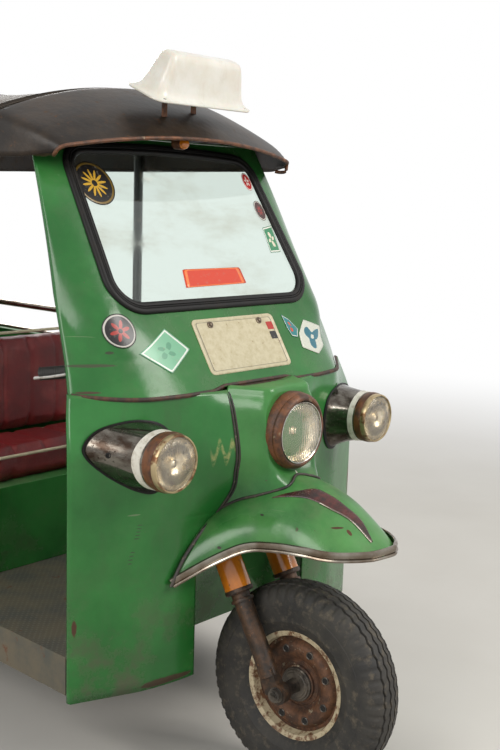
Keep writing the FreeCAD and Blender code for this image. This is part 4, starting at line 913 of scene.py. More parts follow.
rim_steps = ((0, 2.2), (1.5, 3.4), (4, 3.8), (6.5, 3.4), (8, 2.3))
plate = pressed(152.5, 76, 14.0, ((0, 0.4),) + rim_steps, 0.95, 2.2, lambda loop, lift: plate_rise(*loop.T, lift))
piece("front_plate_blank", [plate], plate_finish, "plate_enamel", ("front_plate",), inside=plate_rise(0, 0, -30))
bolt_finish = worn("bolt_steel", (150.0,), None, ((120, 112, 100), (72, 52, 38)), rough=(0, 0.4), grain=(400.0,),
                   depth=0.0003, Metallic=0.8)
bolt_rows = [(0, 9), (2.5, 9), (3.2, 6.2), (6, 6), (7.5, 4.5), (8, 0)]
bolts = [turned(bolt_rows, plate_rise(x, 58.0, 2.0), screen_out, 24) for x in (-92, 92)]
piece("plate_bolts", bolts, bolt_finish, "rusty_iron", inside=plate_rise(0, 58.0, -400))
for z, name, colour in ((30, "red_tab", (172, 44, 34)), (2, "black_tab", (34, 32, 32))):
    loop = slab([(116, z), (140, z), (140, z + 22), (116, z + 22)], 48)
    middle = loop.mean(0)
    grid = np.stack([plate_rise(*(middle + (loop - middle) * share).T, lift)
                     for share, lift in ((1, 2.2), (1, 2.9), (0.5, 2.9), (0, 2.9))])
    piece("plate_" + name, [grid], printed("print_" + name, colour, colour, colour), "plate_enamel",
          inside=plate_rise(128.0, z + 11.0, -30))


# Headlamp: a deep steel drum let into the nose, drawn forward to a peak over the lens; a rusty retaining
# ring, a bright bowl and a fluted glass.
iron_finish, point = new_finish("rusty_ring")
patchy = noise(point, 34.0, 7.0, 0.7)
brown = patchy.step(0.36, 0.64).over((112, 68, 38), (64, 42, 30))
bright = noise(point, 22.0, 5.0, 0.65, 1.0).step(0.62, 0.7)
brown = bright.over(brown, (150, 136, 112))
close_up(point, brown, patchy * 0.35 + 0.35 - bright * 0.2, noise(point, 160.0, 5.0), 0.0008,
         Metallic=bright * 0.8 + 0.15)
lamp_at = np.array([0.0, 35.0, 897.0])
drum_rows = [(6, 76), (-1, 77.5), (-3, 81), (-2, 85), (3, 89.5), (9, 92.5), (13, 93), (15, 91.8), (17, 93.5),
             (30, 95.5), (60, 93.5), (104, 90)]
drum = turned(drum_rows, lamp_at, (0, 1, 0))
high = np.clip((drum[..., 2] - lamp_at[2]) / 97, 0, 1) ** 2
front = np.clip(1 - (drum[..., 1] - lamp_at[1]) / 60, 0, 1)
drum[..., 1] -= 7 * high * front
drum[..., 2] += 4 * high
piece("headlamp_drum", [drum], iron_finish, "rusty_iron", ("headlamp_housing",),
      inside=(0, 120, 897), wall=1.5)
inner_ring = turned([(4, 77.5), (-3, 77), (-4, 76), (-3, 74.5), (4, 74)], lamp_at, (0, 1, 0))
chrome_finish, point = new_finish("worn_chrome")
pits = noise(point, 60.0, 7.0, 0.72)
tarnish = pits.step(0.5, 0.7)
chrome = tarnish.over((196, 194, 188), (104, 90, 70))
close_up(point, chrome, tarnish * 0.4 + 0.07, pits, 0.0004, Metallic=1.0)
piece("headlamp_rim", [(inner_ring, "rc")], chrome_finish, "chrome_trim")
bowl_finish = worn("lamp_bowl", (26.0, 5.0, 0.65), (0.4, 0.64), ((250, 247, 238), (204, 189, 160)),
                   ((70.0, 4.0, 0.6), (0.62, 0.7), 1, (84, 64, 44)), (0.3, 0.1), Metallic=0.92)
bowl_rows = [(3, 73.5), (18, 70), (34, 58), (46, 38), (52, 16), (52, 12), (30, 10), (24, 6), (22, 0)]
piece("headlamp_bowl", [turned(bowl_rows, lamp_at, (0, 1, 0))], bowl_finish, "chrome_trim",
      inside=(0, -200, 897), wall=1.0)


def lens_finish(name, per_metre):
    """Clear moulded glass with shallow upright flutes."""
    material, point = new_finish(name)
    flutes = (axis_of(point, 0) * per_metre).wave() * 0.5 + (axis_of(point, 2) * (per_metre / 3)).wave() * 0.2
    haze = noise(point, 60.0).step(0.5, 0.8)
    close_up(point, haze.over((250, 245, 234), (234, 221, 194)), haze * 0.1 + 0.03, flutes, 0.0002,
             Transmission_Weight=0.93, IOR=1.42)
    return material


head_lens = lens_finish("headlamp_flutes", 130.0)
lens_rows = [(5, 73), (-1, 73), (-4, 66), (-8.5, 45), (-11, 22), (-11.8, 0)]
back_rows = [(-8.3, 0), (-7.5, 22), (-5, 45), (-0.5, 64), (5, 73)]
lens_grid = turned(lens_rows + back_rows, lamp_at, (0, 1, 0))
piece("headlamp_glass", [lens_grid], head_lens, "lamp_glass", ("headlamp_lens",))


# Side lamps: bullet bodies of mottled chrome on black rubber pads, each with a white band, a rusty ring and a
# small fluted glass. They are screwed to the apron from behind.
pad_loop = smooth_line([(499, 892), (487, 917), (461, 936), (416, 947), (373, 949), (330, 938), (300, 912), (287, 868),
                        (292, 826), (312, 790), (345, 776), (385, 787), (430, 814), (464, 841), (490, 868)], 96, True)
ring_centre = np.array([385.0, 874.0])
ring_radius, ring_back = 67, 92


def bullet_rows(side, scale, low, high, count):
    """Rows from the pad forward to the ring: the pad's egg shape passes into the ring's circle, full at first
    and straighter near the ring."""
    across, up = (pad_loop - ring_centre).T
    way = np.arctan2(up, across)
    start = np.argmin(way ** 2)
    egg, way = np.roll(pad_loop, -start, 0), np.roll(way, -start)
    circle = ring_centre + ring_radius * np.stack([np.cos(way), np.sin(way)], -1)
    rows = []
    for share in np.linspace(low, high, count):
        full = math.sin(share * math.pi / 2) ** 0.85
        flat = ring_centre + (egg * (1 - full) + circle * full - ring_centre) * scale
        foot = apron_back(flat[:, 0], np.full(len(flat), 860.0))
        y = foot * (1 - share) + ring_back * share
        rows.append(np.column_stack([side * flat[:, 0], y, flat[:, 1]]))
    return np.stack(rows)


def sleeve(side, scale, low, high, count):
    """A band that stands proud of the bullet between two shares of its length, its edges turned in."""
    turned_in, edge = 0.99, 0.005
    return np.concatenate([bullet_rows(side, turned_in, low - edge, low - edge, 1),
                           bullet_rows(side, scale, low, high, count),
                           bullet_rows(side, turned_in, high + edge, high + edge, 1)])


bullet_finish, point = new_finish("mottled_chrome")
pits = noise(stretched(point, (14.0, 5.0, 14.0)), 1.0, 7.0, 0.7)
tarnish = pits.step(0.42, 0.66)
dark = tarnish.over((128, 124, 116), (60, 48, 40))
freckles = noise(point, 150.0, 4.0, 0.7).step(0.6, 0.68)
dark = freckles.over(dark, (48, 34, 26))
close_up(point, dark, tarnish * 0.22 + freckles * 0.3 + 0.08, freckles, 0.0002, Metallic=0.95)
band_finish = worn("white_band", (50.0, 6.0, 0.7), (0.45, 0.75), ((214, 210, 198), (140, 126, 100)),
                   rough=(0, 0.35), grain=(), depth=0.0004)
brass_finish = worn("worn_brass", (40.0, 6.0, 0.7), (0.45, 0.62), ((178, 160, 124), (104, 66, 40)),
                    rough=(0.4, 0.15), grain=(), depth=0.0003, Metallic=0.7)
small_lens = lens_finish("side_lamp_flutes", 200.0)
for side, hand in hands:
    stands = (("side_lamp_pods",), ("side_lamp_lenses",)) if side < 0 else ((), ())
    centre = np.array([side * 385.0, 78.0, 874.0])
    aim = (0, 1, 0)
    away = (side * 385, 300, 870)
    bullet = bullet_rows(side, 1.0, 0.0, 1.0, 30)
    piece("side_lamp_bullet_" + hand, [bullet], bullet_finish, "chrome_trim", stands[0], inside=away, wall=1.2)
    pad = bullet_rows(side, 1.035, 0.0, 0.0, 1)[0]
    pole = np.array([side * 385.0, 0.0, 874.0])
    lift = np.stack([(pad - pole) * (share, 1, share) + pole - (0, rise, 0)
                     for share, rise in ((1, 0.5), (1, 3), (0.96, 4.5), (0.85, 4))])
    piece("side_lamp_pad_" + hand, [lift], seal_finish, "seal_rubber", inside=away)
    piece("side_lamp_band_" + hand, [sleeve(side, 1.018, 0.655, 0.8, 8)], band_finish, "chrome_trim",
          inside=centre + (0, 33, 0))
    dark_ring = turned([(9, 65), (10, 68.3), (14, 69.2), (24, 69.4), (28, 68.6), (29, 66)], centre, aim)
    piece("side_lamp_collar_" + hand, [dark_ring, sleeve(side, 1.012, 0.845, 0.93, 6)], iron_finish, "chrome_trim",
          inside=centre + (0, 18, 0))
    screw = bullet_rows(side, 1.0, 0.3, 0.3, 1)[0]
    tail = screw[np.argmax(np.abs(screw[:, 0]))]
    head = turned([(0, 7), (2.2, 6.5), (2.6, 4.6), (0.6, 4.2), (0.6, 0)], tail, (side * 0.8, -0.6, 0.0), 24)
    piece("side_lamp_screw_" + hand, [head], seal_finish, "seal_rubber", inside=away)
    ring = turned([(6, 60.5), (-2, 61), (-4, 62.5), (-3.6, 65), (-0.5, 66.6), (6, 67.6), (11, 67.4), (12, 65)],
                  centre, aim)
    piece("side_lamp_ring_" + hand, [ring], brass_finish, "rusty_iron", inside=centre + (0, 60, 0), wall=1.2)
    bowl = turned([(5, 61), (16, 57), (30, 44), (38, 25), (40, 10), (26, 8), (22, 0)], centre, aim, 64)
    piece("side_lamp_bowl_" + hand, [bowl], bowl_finish, "chrome_trim", inside=centre - (0, 200, 0), wall=1.0)
    glass = turned([(5, 60.5), (-1, 60.5), (-4, 50), (-7.5, 29), (-8.8, 0), (-6, 0), (-5, 29), (-1, 50), (5, 59)],
                   centre, aim, 64)
    piece("side_lamp_glass_" + hand, [glass], small_lens, "lamp_glass", stands[1])


# Tyres: diagonal-ply rubber with five wavy ribs, notched shoulders and stepped rings on the sidewalls,
# mounted with an inner tube.
steer_foot = np.array([0.0, 37.528, 244.0])
rake = math.radians(30)
steer_axis = np.array([0.0, math.sin(rake), math.cos(rake)])
steer_turn = math.radians(6.0)


def steered(points):
    """Points turned by the steering's resting angle round the head's axis: the part along the axis stays, the
    rest turns in its plane."""
    away = np.asarray(points, float) - steer_foot
    held = (away @ steer_axis)[..., None] * steer_axis
    rest = away - held
    return steer_foot + held + rest * math.cos(steer_turn) + np.cross(steer_axis, rest) * math.sin(steer_turn)


def tyre_grid(centre, axis):
    """Rows over the section from bead to bead, columns round. A rib's edge sways by a triangle wave once a
    pitch; a shoulder notch takes three of the eight steps of a pitch; grooves drop the radius."""
    pitches, steps, crown = 54, 8, 258.4
    flank = [(40, 127.5, 0), (41, 134, 0), (45, 140, 0), (47, 141.5, 0), (53, 152, 0), (58, 163, 0), (59.5, 165, 0),
             (59.3, 168, 0), (62, 182, 0), (63.6, 197, 0), (64, 203, 0), (62.6, 205, 0), (62.4, 209, 0), (62, 216, 0),
             (60, 224, 1), (58.2, 230, 1), (54, 238, 1), (50, 243, 1), (47, 246.4, 1), (42, 249.4, 1), (37, 251.6, 0)]
    ribs = [(groove + reach, drop) for groove in (31.0, 10.5)
            for reach, drop in ((3.2, 0), (2.0, 5.5), (-2.0, 5.5), (-3.2, 0))]
    tread = [(s, crown - 12 * abs(s / 47) ** 2.2 - drop, 2) for s, drop in ribs]
    rows = flank + tread
    rows = np.array(rows + [(0, crown, 2)] + [(-s, r, k) for s, r, k in rows[::-1]], float)
    count = pitches * steps
    turn_by = np.arange(count) / count
    sway = np.abs((turn_by * pitches) % 1 - 0.5) * 4 - 1
    notch = ((np.arange(count) % steps) < 3) * 1.0
    across = rows[:, :1] + 2.8 * sway[None] * (rows[:, 2:] == 2) * (np.abs(rows[:, :1]) > 0.5)
    radius = rows[:, 1:2] - 3.4 * notch[None] * (rows[:, 2:] == 1)
    first, second = np.cross(axis, (0, 0, 1)), np.array([0.0, 0.0, 1.0])
    angle = 2 * math.pi * turn_by[None, :, None]
    spokes = np.cos(angle) * first + np.sin(angle) * second
    return centre + across[..., None] * axis + radius[..., None] * spokes


tyre_finish = worn("tyre_rubber_worn", (14.0, 7.0, 0.7), (0.3, 0.7), ((34, 33, 32), (58, 55, 50)),
                   ((40.0, 6.0, 0.7), (0.5, 0.72), 0.6, (104, 94, 78)), (0.2, 0.62), (300.0, 3.0), 0.0003)
wheel_up, axle_back, half_track = 259.0, 2080.0, 565.0
wheel_places = [
    # name, centre, axis, body, nodes of tyre and rim, turning
    ("front", np.array([0.0, 0.0, wheel_up]), np.array([-1.0, 0.0, 0.0]), "front_wheel", "front_tyre", "front_rim",
     steered),
    ("rear_left", np.array([half_track, axle_back, wheel_up]), np.array([1.0, 0.0, 0.0]), "rear_left_wheel",
     "rear_tyre_left", "rear_rim_left", None),
    ("rear_right", np.array([-half_track, axle_back, wheel_up]), np.array([-1.0, 0.0, 0.0]), "rear_right_wheel",
     "rear_tyre_right", "rear_rim_right", None),
]
for name, centre, axis, body, tyre, rim, swing in wheel_places:
    inner = tyre_grid(centre, axis)
    bead, far_bead = ((row - centre) * (1, 1.4, 1.4) + centre for row in (inner[0], inner[-1]))
    lining = np.stack([inner[-1], far_bead, bead, inner[0]])
    piece(name + "_tyre_tread", [inner, lining], tyre_finish, "tyre_rubber", (tyre,), sharp=32, body=body,
          turn=swing)


# Rims: pressed steel discs welded into rolled rims, rusted brown with pale worn edges, greasy round the hub,
# with eight small lined holes, each closed by a near-black disc of painted shade.
rim_finish = worn("rim_rust", (30.0, 8.0, 0.72), (0.34, 0.62), ((110, 74, 50), (62, 44, 34)),
                  ((55.0, 6.0, 0.7, 0.5), (0.6, 0.68), 1, (150, 138, 116)), (0.3, 0.5), (120.0, 6.0), 0.0008,
                  Metallic=0.25)
lip_finish = worn("rim_lip", (40.0, 7.0, 0.72), (0.46, 0.6), ((186, 172, 142), (104, 70, 46)), grain=(140.0, 5.0),
                  depth=0.0006)
grease_finish = worn("hub_grease", (36.0, 6.0, 0.65), (0.35, 0.7), ((62, 58, 54), (108, 100, 90)),
                     rough=(0.4, 0.15), grain=(90.0, 4.0), depth=0.0010, Metallic=0.5)
# Near-black finish for discs set into the holes: painted shade, the dark seen through a hole.
hole_shade_finish = worn("hole_dark", (90.0,), None, ((10, 9, 8), (24, 20, 17)), rough=(0, 0.8))
disc_rows = [(-44, 124), (-12, 114), (10, 113), (14, 111), (27, 101), (28, 82), (15, 66), (14, 47), (-39, 46),
             (-40, 10.5), (39, 10.5), (40, 12), (40, 25), (37, 26), (36, 31), (33, 32), (32, 40), (29, 42), (27, 47),
             (20.5, 48), (20, 55), (22, 56.5), (22, 59), (20, 60.5), (21, 65), (28, 71), (33, 80), (34.2, 85),
             (34.2, 99), (31, 104), (24, 109), (19, 113), (18, 119), (24, 123.5), (38, 124.5)]
lip_rows = [(38, 124.5), (42, 126), (44, 132), (45, 137.5), (43.5, 139), (41.5, 138), (40.5, 132), (39, 127.3),
            (24, 126), (16, 117), (-16, 117), (-24, 126), (-39, 127.3), (-40.5, 132), (-41.5, 138), (-43.5, 139),
            (-45, 137.5), (-44, 132), (-44, 124), (-12, 114), (12, 114), (20, 121)]
liner_rows = [(32, 10.2), (35.6, 10.0), (36.6, 8.6), (35.8, 7.4), (32, 7.2)]
nut_rows = [(20, 0), (20, 9.5), (28, 9.5), (30, 8), (30, 5), (34, 5), (35, 3.5), (35, 0)]
axle_nut_rows = [(40, 0), (40, 17), (50, 17), (52, 14), (52, 8), (60, 8), (61, 6), (61, 0)]
hub_rows = [(28, 44), (33.5, 42.5), (34.5, 39), (38, 37), (38.5, 33), (41, 31), (41.8, 22), (40, 12), (30, 12)]


def round_wheel(centre, count, radius, start):
    """Places at even angles round a wheel's centre."""
    angle = 2 * math.pi * np.arange(count) / count + start
    return centre + radius * np.stack([angle * 0, np.cos(angle), np.sin(angle)], -1)


for name, centre, axis, body, tyre, rim, swing in wheel_places:
    holes = round_wheel(centre, 8, 92, math.pi / 8)
    riding = {"body": body, "turn": swing}
    piece(name + "_rim_disc", [(turned(disc_rows, centre, axis), "rc")], rim_finish, "wheel_steel", (rim,), **riding)
    piece(name + "_rim_lip", [(turned(lip_rows, centre, axis), "rc")], lip_finish, "wheel_steel", **riding)
    piece(name + "_hub_rings", [(turned(hub_rows, centre, axis), "rc")], grease_finish, "wheel_steel", **riding)
    piece(name + "_hole_liners", [(turned(liner_rows, at, axis, 24), "rc") for at in holes], grease_finish,
          "wheel_steel", **riding)
    # Each hole is closed by a near-black disc: painted shade.
    piece(name + "_hole_darks", [turned([(32, 7.6), (34.9, 7.6), (34.9, 0)], at, axis, 24) for at in holes],
          hole_shade_finish, "wheel_steel", inside=centre - axis * 300, **riding)
    if name != "front":
        nuts = [turned(nut_rows, at, axis, 6) for at in round_wheel(centre, 4, 56, 0.4)]
        piece(name + "_wheel_nuts", nuts + [turned(axle_nut_rows, centre, axis, 6)], grease_finish, "wheel_steel",
              body=body)


# Front fork: two heavy telescopic legs, hammered black-brown, with orange enamelled cups over their upper
# ends. The axle is nutted into a lug below each leg.
hammer_finish = worn("hammered_leg", (26.0, 7.0, 0.7), (0.4, 0.62), ((44, 36, 30), (84, 60, 42)),
                     ((60.0, 5.0, 0.7), (0.62, 0.7), 1, (120, 80, 50)), (0.3, 0.35), (110.0, 3.0), 0.0012,
                     Metallic=0.3)
restyle(hammer_finish, "front_fork")
cup_finish, point = new_finish("orange_cup")
cloud = noise(point, 18.0, 5.0)
orange = cloud.step(0.3, 0.7).over((196, 112, 26), (222, 132, 38))
chips = noise(point, 70.0, 5.0, 0.65).step(0.68, 0.72)
orange = chips.over(orange, (60, 40, 30))
soot = noise(stretched(point, (30.0, 30.0, 4.0)), 1.0, 5.0).step(0.56, 0.75)
orange = (soot * 0.45).over(orange, (96, 60, 30))
close_up(point, orange, chips * 0.4 + soot * 0.15 + 0.15, noise(point, 30.0), 0.0004, Coat_Weight=0.5,
         Coat_Roughness=0.1)
restyle(cup_finish, "fork_cups")
restyle(grease_finish, "front_axle")


def steering_piece(name, grids, finish, slot):
    """A piece that turns with the steering."""
    piece(name, grids, finish, slot, body="steering", turn=steered)


def leg_point(side, s):
    """Point on a fork leg's line, s up from the axle's level."""
    return np.array([side * 105.0, 11.547 + s * math.sin(rake), wheel_up + s * math.cos(rake)])


cup_rows = [(-4, 25), (-5, 33), (-2, 36.5), (4, 37), (7, 36), (8, 34), (8, 25)]
ring_rows = [(0, 20), (0, 29), (5, 30), (9, 28), (10, 20)]
rings, nuts = [], []
for side in (-1, 1):
    rings.append((turned(cup_rows, leg_point(side, 259), steer_axis, 48), "rc"))
    rings.append((turned(ring_rows, leg_point(side, 232), steer_axis, 48), "rc"))
    at, way = (side * 119.0, 0.0, wheel_up), (side, 0, 0)
    nuts.append((turned([(0, 11), (0, 19), (2, 19.5), (2.5, 11)], at, way, 32), "rc"))
    nuts.append(turned([(2.5, 0), (2.5, 15), (11, 15), (13, 13), (13, 9.8), (16, 9.8), (16, 0)], at, way, 6))
steering_piece("fork_rings", rings, hammer_finish, "dark_steel")
steering_piece("axle_nuts", nuts, grease_finish, "dark_steel")


# Handlebar: a bent steel tube clamped to the steering stem, painted black, with ribbed rubber grips, a switch
# housing at each and two cast levers.
bar_finish, point = new_finish("bar_black")
rubbed = noise(point, 40.0, 6.0, 0.7).step(0.56, 0.7)
close_up(point, rubbed.over((28, 28, 28), (96, 84, 70)), rubbed * 0.2 + 0.3, noise(point, 160.0),
         0.0003, Coat_Weight=0.2)
restyle(bar_finish, "handlebar")
grip_finish = worn("grip_rubber", (60.0, 4.0), None, ((22, 22, 22), (52, 50, 46)), rough=(0.2, 0.55), grain=(500.0,),
                   depth=0.0002)
bar_mid = np.array([0.0, 456.5, 969.7])
grip_rows = [(-5, 0), (-5, 14), (-3, 17.5), (0, 17.8), (2, 16.6)]
for rib in range(18):
    grip_rows += [(at + rib * 5.6, radius) for at, radius in ((4, 16.4), (5.4, 17.3), (7.6, 17.3), (8.8, 16.4))]
grip_rows += [(106, 16.6), (107, 20.5), (111, 21), (113, 18), (113, 11)]
pod_rows = [(114, 11), (114, 19), (117, 21), (146, 21), (150, 19), (150, 11)]
blade = [(-6, 0), (-4, 3), (0, 4), (4, 3), (6, 0), (4, -3), (0, -4), (-4, -3)]
for side, hand in hands:
    end = bar_mid + (side * 330, 190, 14)
    bend = bar_mid + (side * 236, 42, 40)
    inward = (bend - end) / np.linalg.norm(bend - end)
    ahead = np.cross(inward, (0, 0, 1)) * side
    ahead *= -np.sign(ahead[1]) / np.linalg.norm(ahead)
    lever = [end + inward * along_bar + ahead * out - (0, 0, drop) for along_bar, out, drop in
             ((134, 12, 0), (128, 34, 0), (92, 50, 0), (40, 50, 4), (-6, 42, 6))]
    steering_piece("grip_" + hand, [turned(grip_rows, end, inward, 40)], grip_finish, "rubber_pads")
    steering_piece("bar_switch_" + hand, [turned(pod_rows, end, inward, 32)], bar_finish, "dark_steel")
    steering_piece("bar_lever_" + hand, [along(smooth_line(lever, 48), blade)], chrome_finish, "chrome_trim")


# Dashboard and pedals: a folded steel shelf behind the apron with a round speedometer in it, and three
# pedals with ribbed rubber pads.
def eased(name, finish, width):
    """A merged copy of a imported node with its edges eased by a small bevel, standing for it."""
    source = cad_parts[name]
    mesh = source.data.copy()
    mesh.name = name + "_eased"
    shell = bmesh.new()
    shell.from_mesh(mesh)
    bmesh.ops.remove_doubles(shell, verts=shell.verts, dist=weld)
    bmesh.ops.dissolve_limit(shell, angle_limit=math.radians(0.6), verts=shell.verts, edges=shell.edges)
    shell.to_mesh(mesh)
    shell.free()
    mesh.shade_smooth()
    mesh.set_sharp_from_angle(angle=math.radians(32))
    mesh.materials.clear()
    mesh.materials.append(finish)
    thing = added(name + "_eased", mesh)
    soft = thing.modifiers.new("ease", "BEVEL")
    soft.width = width / 1000
    soft.segments = 2
    soft.limit_method = "ANGLE"
    soft.angle_limit = math.radians(40)
    soft.harden_normals = True
    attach(thing, "body")
    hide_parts(name)


def block_grid(low, high, ease=1.5):
    """Box with eased edges: eight columns, two a corner, on loops drawn in by the ease at foot and top."""
    low, high = np.asarray(low, float), np.asarray(high, float)
    centre, half = (low + high) / 2, (high - low) / 2
    rows = []
    for z, inset in ((low[2], None), (low[2], ease), (low[2] + ease, 0), (high[2] - ease, 0), (high[2], ease),
                     (high[2], None)):
        if inset is None:
            rows.append(np.tile([centre[0], centre[1], z], (8, 1)))
            continue
        hx, hy = half[0] - inset, half[1] - inset
        cut = min(ease, hx * 0.5, hy * 0.5)
        loop = [(hx, hy - cut), (hx - cut, hy), (cut - hx, hy), (-hx, hy - cut), (-hx, cut - hy), (cut - hx, -hy),
                (hx - cut, -hy), (hx, cut - hy)]
        rows.append(stood(np.array(loop), 0)[:, [0, 2, 1]] + (centre[0], centre[1], z))
    return np.stack(rows)


def pitched(points, angle):
    """Points turned about the across axis, their fronts down."""
    y, z = points[..., 1], points[..., 2]
    turned_y = y * math.cos(angle) - z * math.sin(angle)
    return np.stack([points[..., 0], turned_y, y * math.sin(angle) + z * math.cos(angle)], -1)


eased("dashboard", well_finish, 3.0)
gauge_at = np.array([0.0, 353.0, 958.0])
gauge_way = np.array([0.0, 0.8, 0.6])
gauge_rows = [(-44, 44), (-2, 46.5), (2, 48), (5, 47), (5, 43), (1, 42)]
piece("speedometer_ring", [turned(gauge_rows, gauge_at, gauge_way)], chrome_finish, "chrome_trim")
face_finish, point = new_finish("speedometer_face")
round_by, out = lay_of(point)
marks = (round_by * 40.0).wave().step(0.7, 0.9) * (out > 0.78) * (out < 0.93)
face = marks.over((18, 18, 20), (222, 220, 206))
needle = ((round_by - 0.62).size() < 0.008) * (out < 0.8)
face = needle.most(out < 0.1).over(face, (190, 60, 36))
close_up(point, face, noise(point, 120.0) * 0.2 + 0.25)
face_rows = [(1.5, r) for r in np.linspace(0, 43, 12)]
piece("speedometer_face", [turned(face_rows, gauge_at, gauge_way)], face_finish, "plate_enamel",
      inside=gauge_at - gauge_way * 100)
pad_finish = worn("pedal_rubber", (60.0, 5.0, 0.7), (0.4, 0.7), ((26, 26, 26), (92, 84, 70)), rough=(0, 0.8),
                  grain=(300.0,), depth=0.0003)
restyle(bar_finish, "pedals")
ribs = []
for x, half_width in ((-150, 26), (-40, 34), (140, 34)):
    for i in range(-3, 4):
        low = np.array([-half_width + 3, 5.2, i * 7 - 2.0])
        rib = block_grid(low, low + (2 * half_width - 6, 3.0, 4.0), 0.8)
        ribs.append((x, 430.0, 514.0) + pitched(rib, math.radians(35)))
piece("pedal_pads", ribs, pad_finish, "rubber_pads")


# Floor and chassis: chequered sheet on two box rails, with sills along the sides, brushed with dark paint.
floor_finish_coat, point = new_finish("floor_paint")
per_metre = 28.0
across = axis_of(point, 0) * per_metre
lozenge = (across + axis_of(point, 1) * per_metre).wave() * (across - axis_of(point, 1) * per_metre).wave()
tread = lozenge.size().step(0.72, 0.86)
dirt = noise(point, 7.0, 7.0, 0.7)
grey = dirt.step(0.35, 0.65).over((70, 72, 66), (96, 88, 72))
grey = (tread * 0.4).over(grey, (124, 118, 104))
rust = noise(point, 24.0, 6.0, 0.7).step(0.6, 0.7)
grey = rust.over(grey, (98, 62, 40))
close_up(point, grey, rust * 0.2 + 0.6, tread * 1.0 + dirt * 0.4, 0.0009)
restyle(floor_finish_coat, "floor_pan")
under_finish = worn("chassis_paint", (10.0, 7.0, 0.7), (0.4, 0.66), ((40, 39, 37), (92, 80, 62)),
                    ((30.0, 6.0, 0.7), (0.6, 0.68), 1, (96, 60, 38)), (0.2, 0.6), (), 0.0012)
eased("chassis_frame", under_finish, 2.0)


# Seats: vinyl covers with sewn channels and light piping over foam, on painted steel boxes. The covers swell
# between their seams and lie flat where they rest.
vinyl_finish, point = new_finish("red_vinyl")
grain = point.put("TexVoronoi", {"feature": "DISTANCE_TO_EDGE"}, Vector=point, Scale=420.0)
soil = noise(point, 6.0, 6.0, 0.65)
red = soil.step(0.35, 0.7).over((122, 26, 28), (92, 22, 24))
shine = noise(point, 14.0, 4.0).step(0.5, 0.7)
red = (shine * 0.3).over(red, (150, 52, 46))
cracks = noise(stretched(point, (60.0, 14.0, 60.0)), 1.0, 6.0, 0.7).step(0.7, 0.74)
red = cracks.over(red, (58, 22, 20))
close_up(point, red, 0.48 - shine * 0.16, grain.least(0.25) * 3.0 + noise(point, 30.0) * 0.6, 0.0005)
piping_finish = worn("cream_piping", (60.0, 5.0), None, ((214, 204, 178), (168, 152, 122)), rough=(0.2, 0.4),
                     grain=(300.0,), depth=0.0002)
piping = []


def points_of(mesh):
    """A mesh's points, one a row."""
    flat = np.empty(len(mesh.vertices) * 3)
    mesh.vertices.foreach_get("co", flat)
    return flat.reshape(-1, 3)


def stuffed(name, node, cap, up_axis, channels):
    """A stuffed cover in a node's box: an eased box is remeshed finely, blown up by its pressure with no point
    moving further than the cap, held to its base, then drawn in by a bell-shaped depth along channels at even
    places across. Metres."""
    gap, ease, channel_width, channel_depth = 0.010, 0.026, 0.008, 0.011
    frames = 20
    low, high = (np.array(corner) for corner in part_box(node))
    lows, highs = low + gap, high - gap
    shell = bmesh.new()
    bmesh.ops.create_cube(shell, size=1.0)
    for vert in shell.verts:
        vert.co = Vector([lows[i] + (vert.co[i] + 0.5) * (highs[i] - lows[i]) for i in range(3)])
    bmesh.ops.bevel(shell, geom=shell.edges[:], offset=ease, segments=4, profile=0.6, affect="EDGES")
    mesh = bpy.data.meshes.new(name)
    shell.to_mesh(mesh)
    shell.free()
    thing = added(name, mesh)
    fine = thing.modifiers.new("fine", "REMESH")
    fine.mode = "VOXEL"
    fine.voxel_size = 0.008 if highs[0] - lows[0] < 0.8 else 0.0095
    mesh = bpy.data.meshes.new_from_object(thing.evaluated_get(bpy.context.evaluated_depsgraph_get()))
    mesh.name = name
    thing.modifiers.clear()
    thing.data = mesh
    rest = points_of(mesh)
    share = (rest - (lows + highs) / 2) / ((highs - lows) / 2)
    cloth = thing.modifiers.new("stuffing", "CLOTH")
    cloth.settings.use_pressure = True
    cloth.settings.uniform_pressure_force = 4.0
    cloth.settings.effector_weights.gravity = 0.0
    cloth.settings.quality = 4
    cloth.point_cache.frame_start = 1
    cloth.point_cache.frame_end = frames
    for at in range(1, frames + 1):
        scene.frame_set(at)
    swollen = points_of(thing.evaluated_get(bpy.context.evaluated_depsgraph_get()).to_mesh())
    thing.modifiers.clear()
    scene.frame_set(1)
    moved = swollen - rest
    far = np.linalg.norm(moved, axis=1)[:, None]
    swollen = rest + moved * np.minimum(1.0, cap / np.maximum(far, 1e-9))
    lines = np.linspace(low[0], high[0], channels + 1)[1:-1]
    fall = np.exp(-((swollen[:, :1] - lines) / channel_width) ** 2).sum(1)
    way = -1 if up_axis == 2 else 1
    facing = share[:, up_axis] * way < 0.4
    swollen[:, up_axis] += way * np.minimum(fall, 1.0) * channel_depth * facing
    swollen = np.clip(swollen, low, high)
    mesh.vertices.foreach_set("co", swollen.ravel())
    mesh.shade_smooth()
    mesh.materials.append(vinyl_finish)
    soft = thing.modifiers.new("smooth", "SUBSURF")
    soft.levels = 1
    soft.render_levels = 1
    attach(thing, "body")
    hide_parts(node)


for name, node, cap, up_axis, channels in (("driver_pad", "driver_cushion", 0.016, 2, 6),
                                           ("driver_back_pad", "driver_backrest", 0.016, 1, 6),
                                           ("bench_pad", "passenger_cushion", 0.018, 2, 11),
                                           ("bench_back_pad", "passenger_backrest", 0.018, 1, 10)):
    stuffed(name, node, cap, up_axis, channels)
    low, high = ((np.array(corner) - (0.0, axle_y, 0.0)) * 1000 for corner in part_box(node))
    flat = [0, 3 - up_axis]
    ring = np.empty((160, 3))
    ring[:, flat] = rounded_loop(*((high - low)[flat] / 2 - 9), 34.0, 160) + (low + high)[flat] / 2
    ring[:, up_axis] = high[2] - 21 if up_axis == 2 else low[1] + 21
    piping.append((along(ring, round_bar(4.6, 10), np.eye(3)[up_axis], True), "rc"))
piece("seat_piping", piping, piping_finish, "seat_vinyl")
box_finish = green_enamel("seat_box_green", fade=0.1)
eased("driver_seat_base", box_finish, 2.5)
eased("passenger_seat_base", box_finish, 2.0)


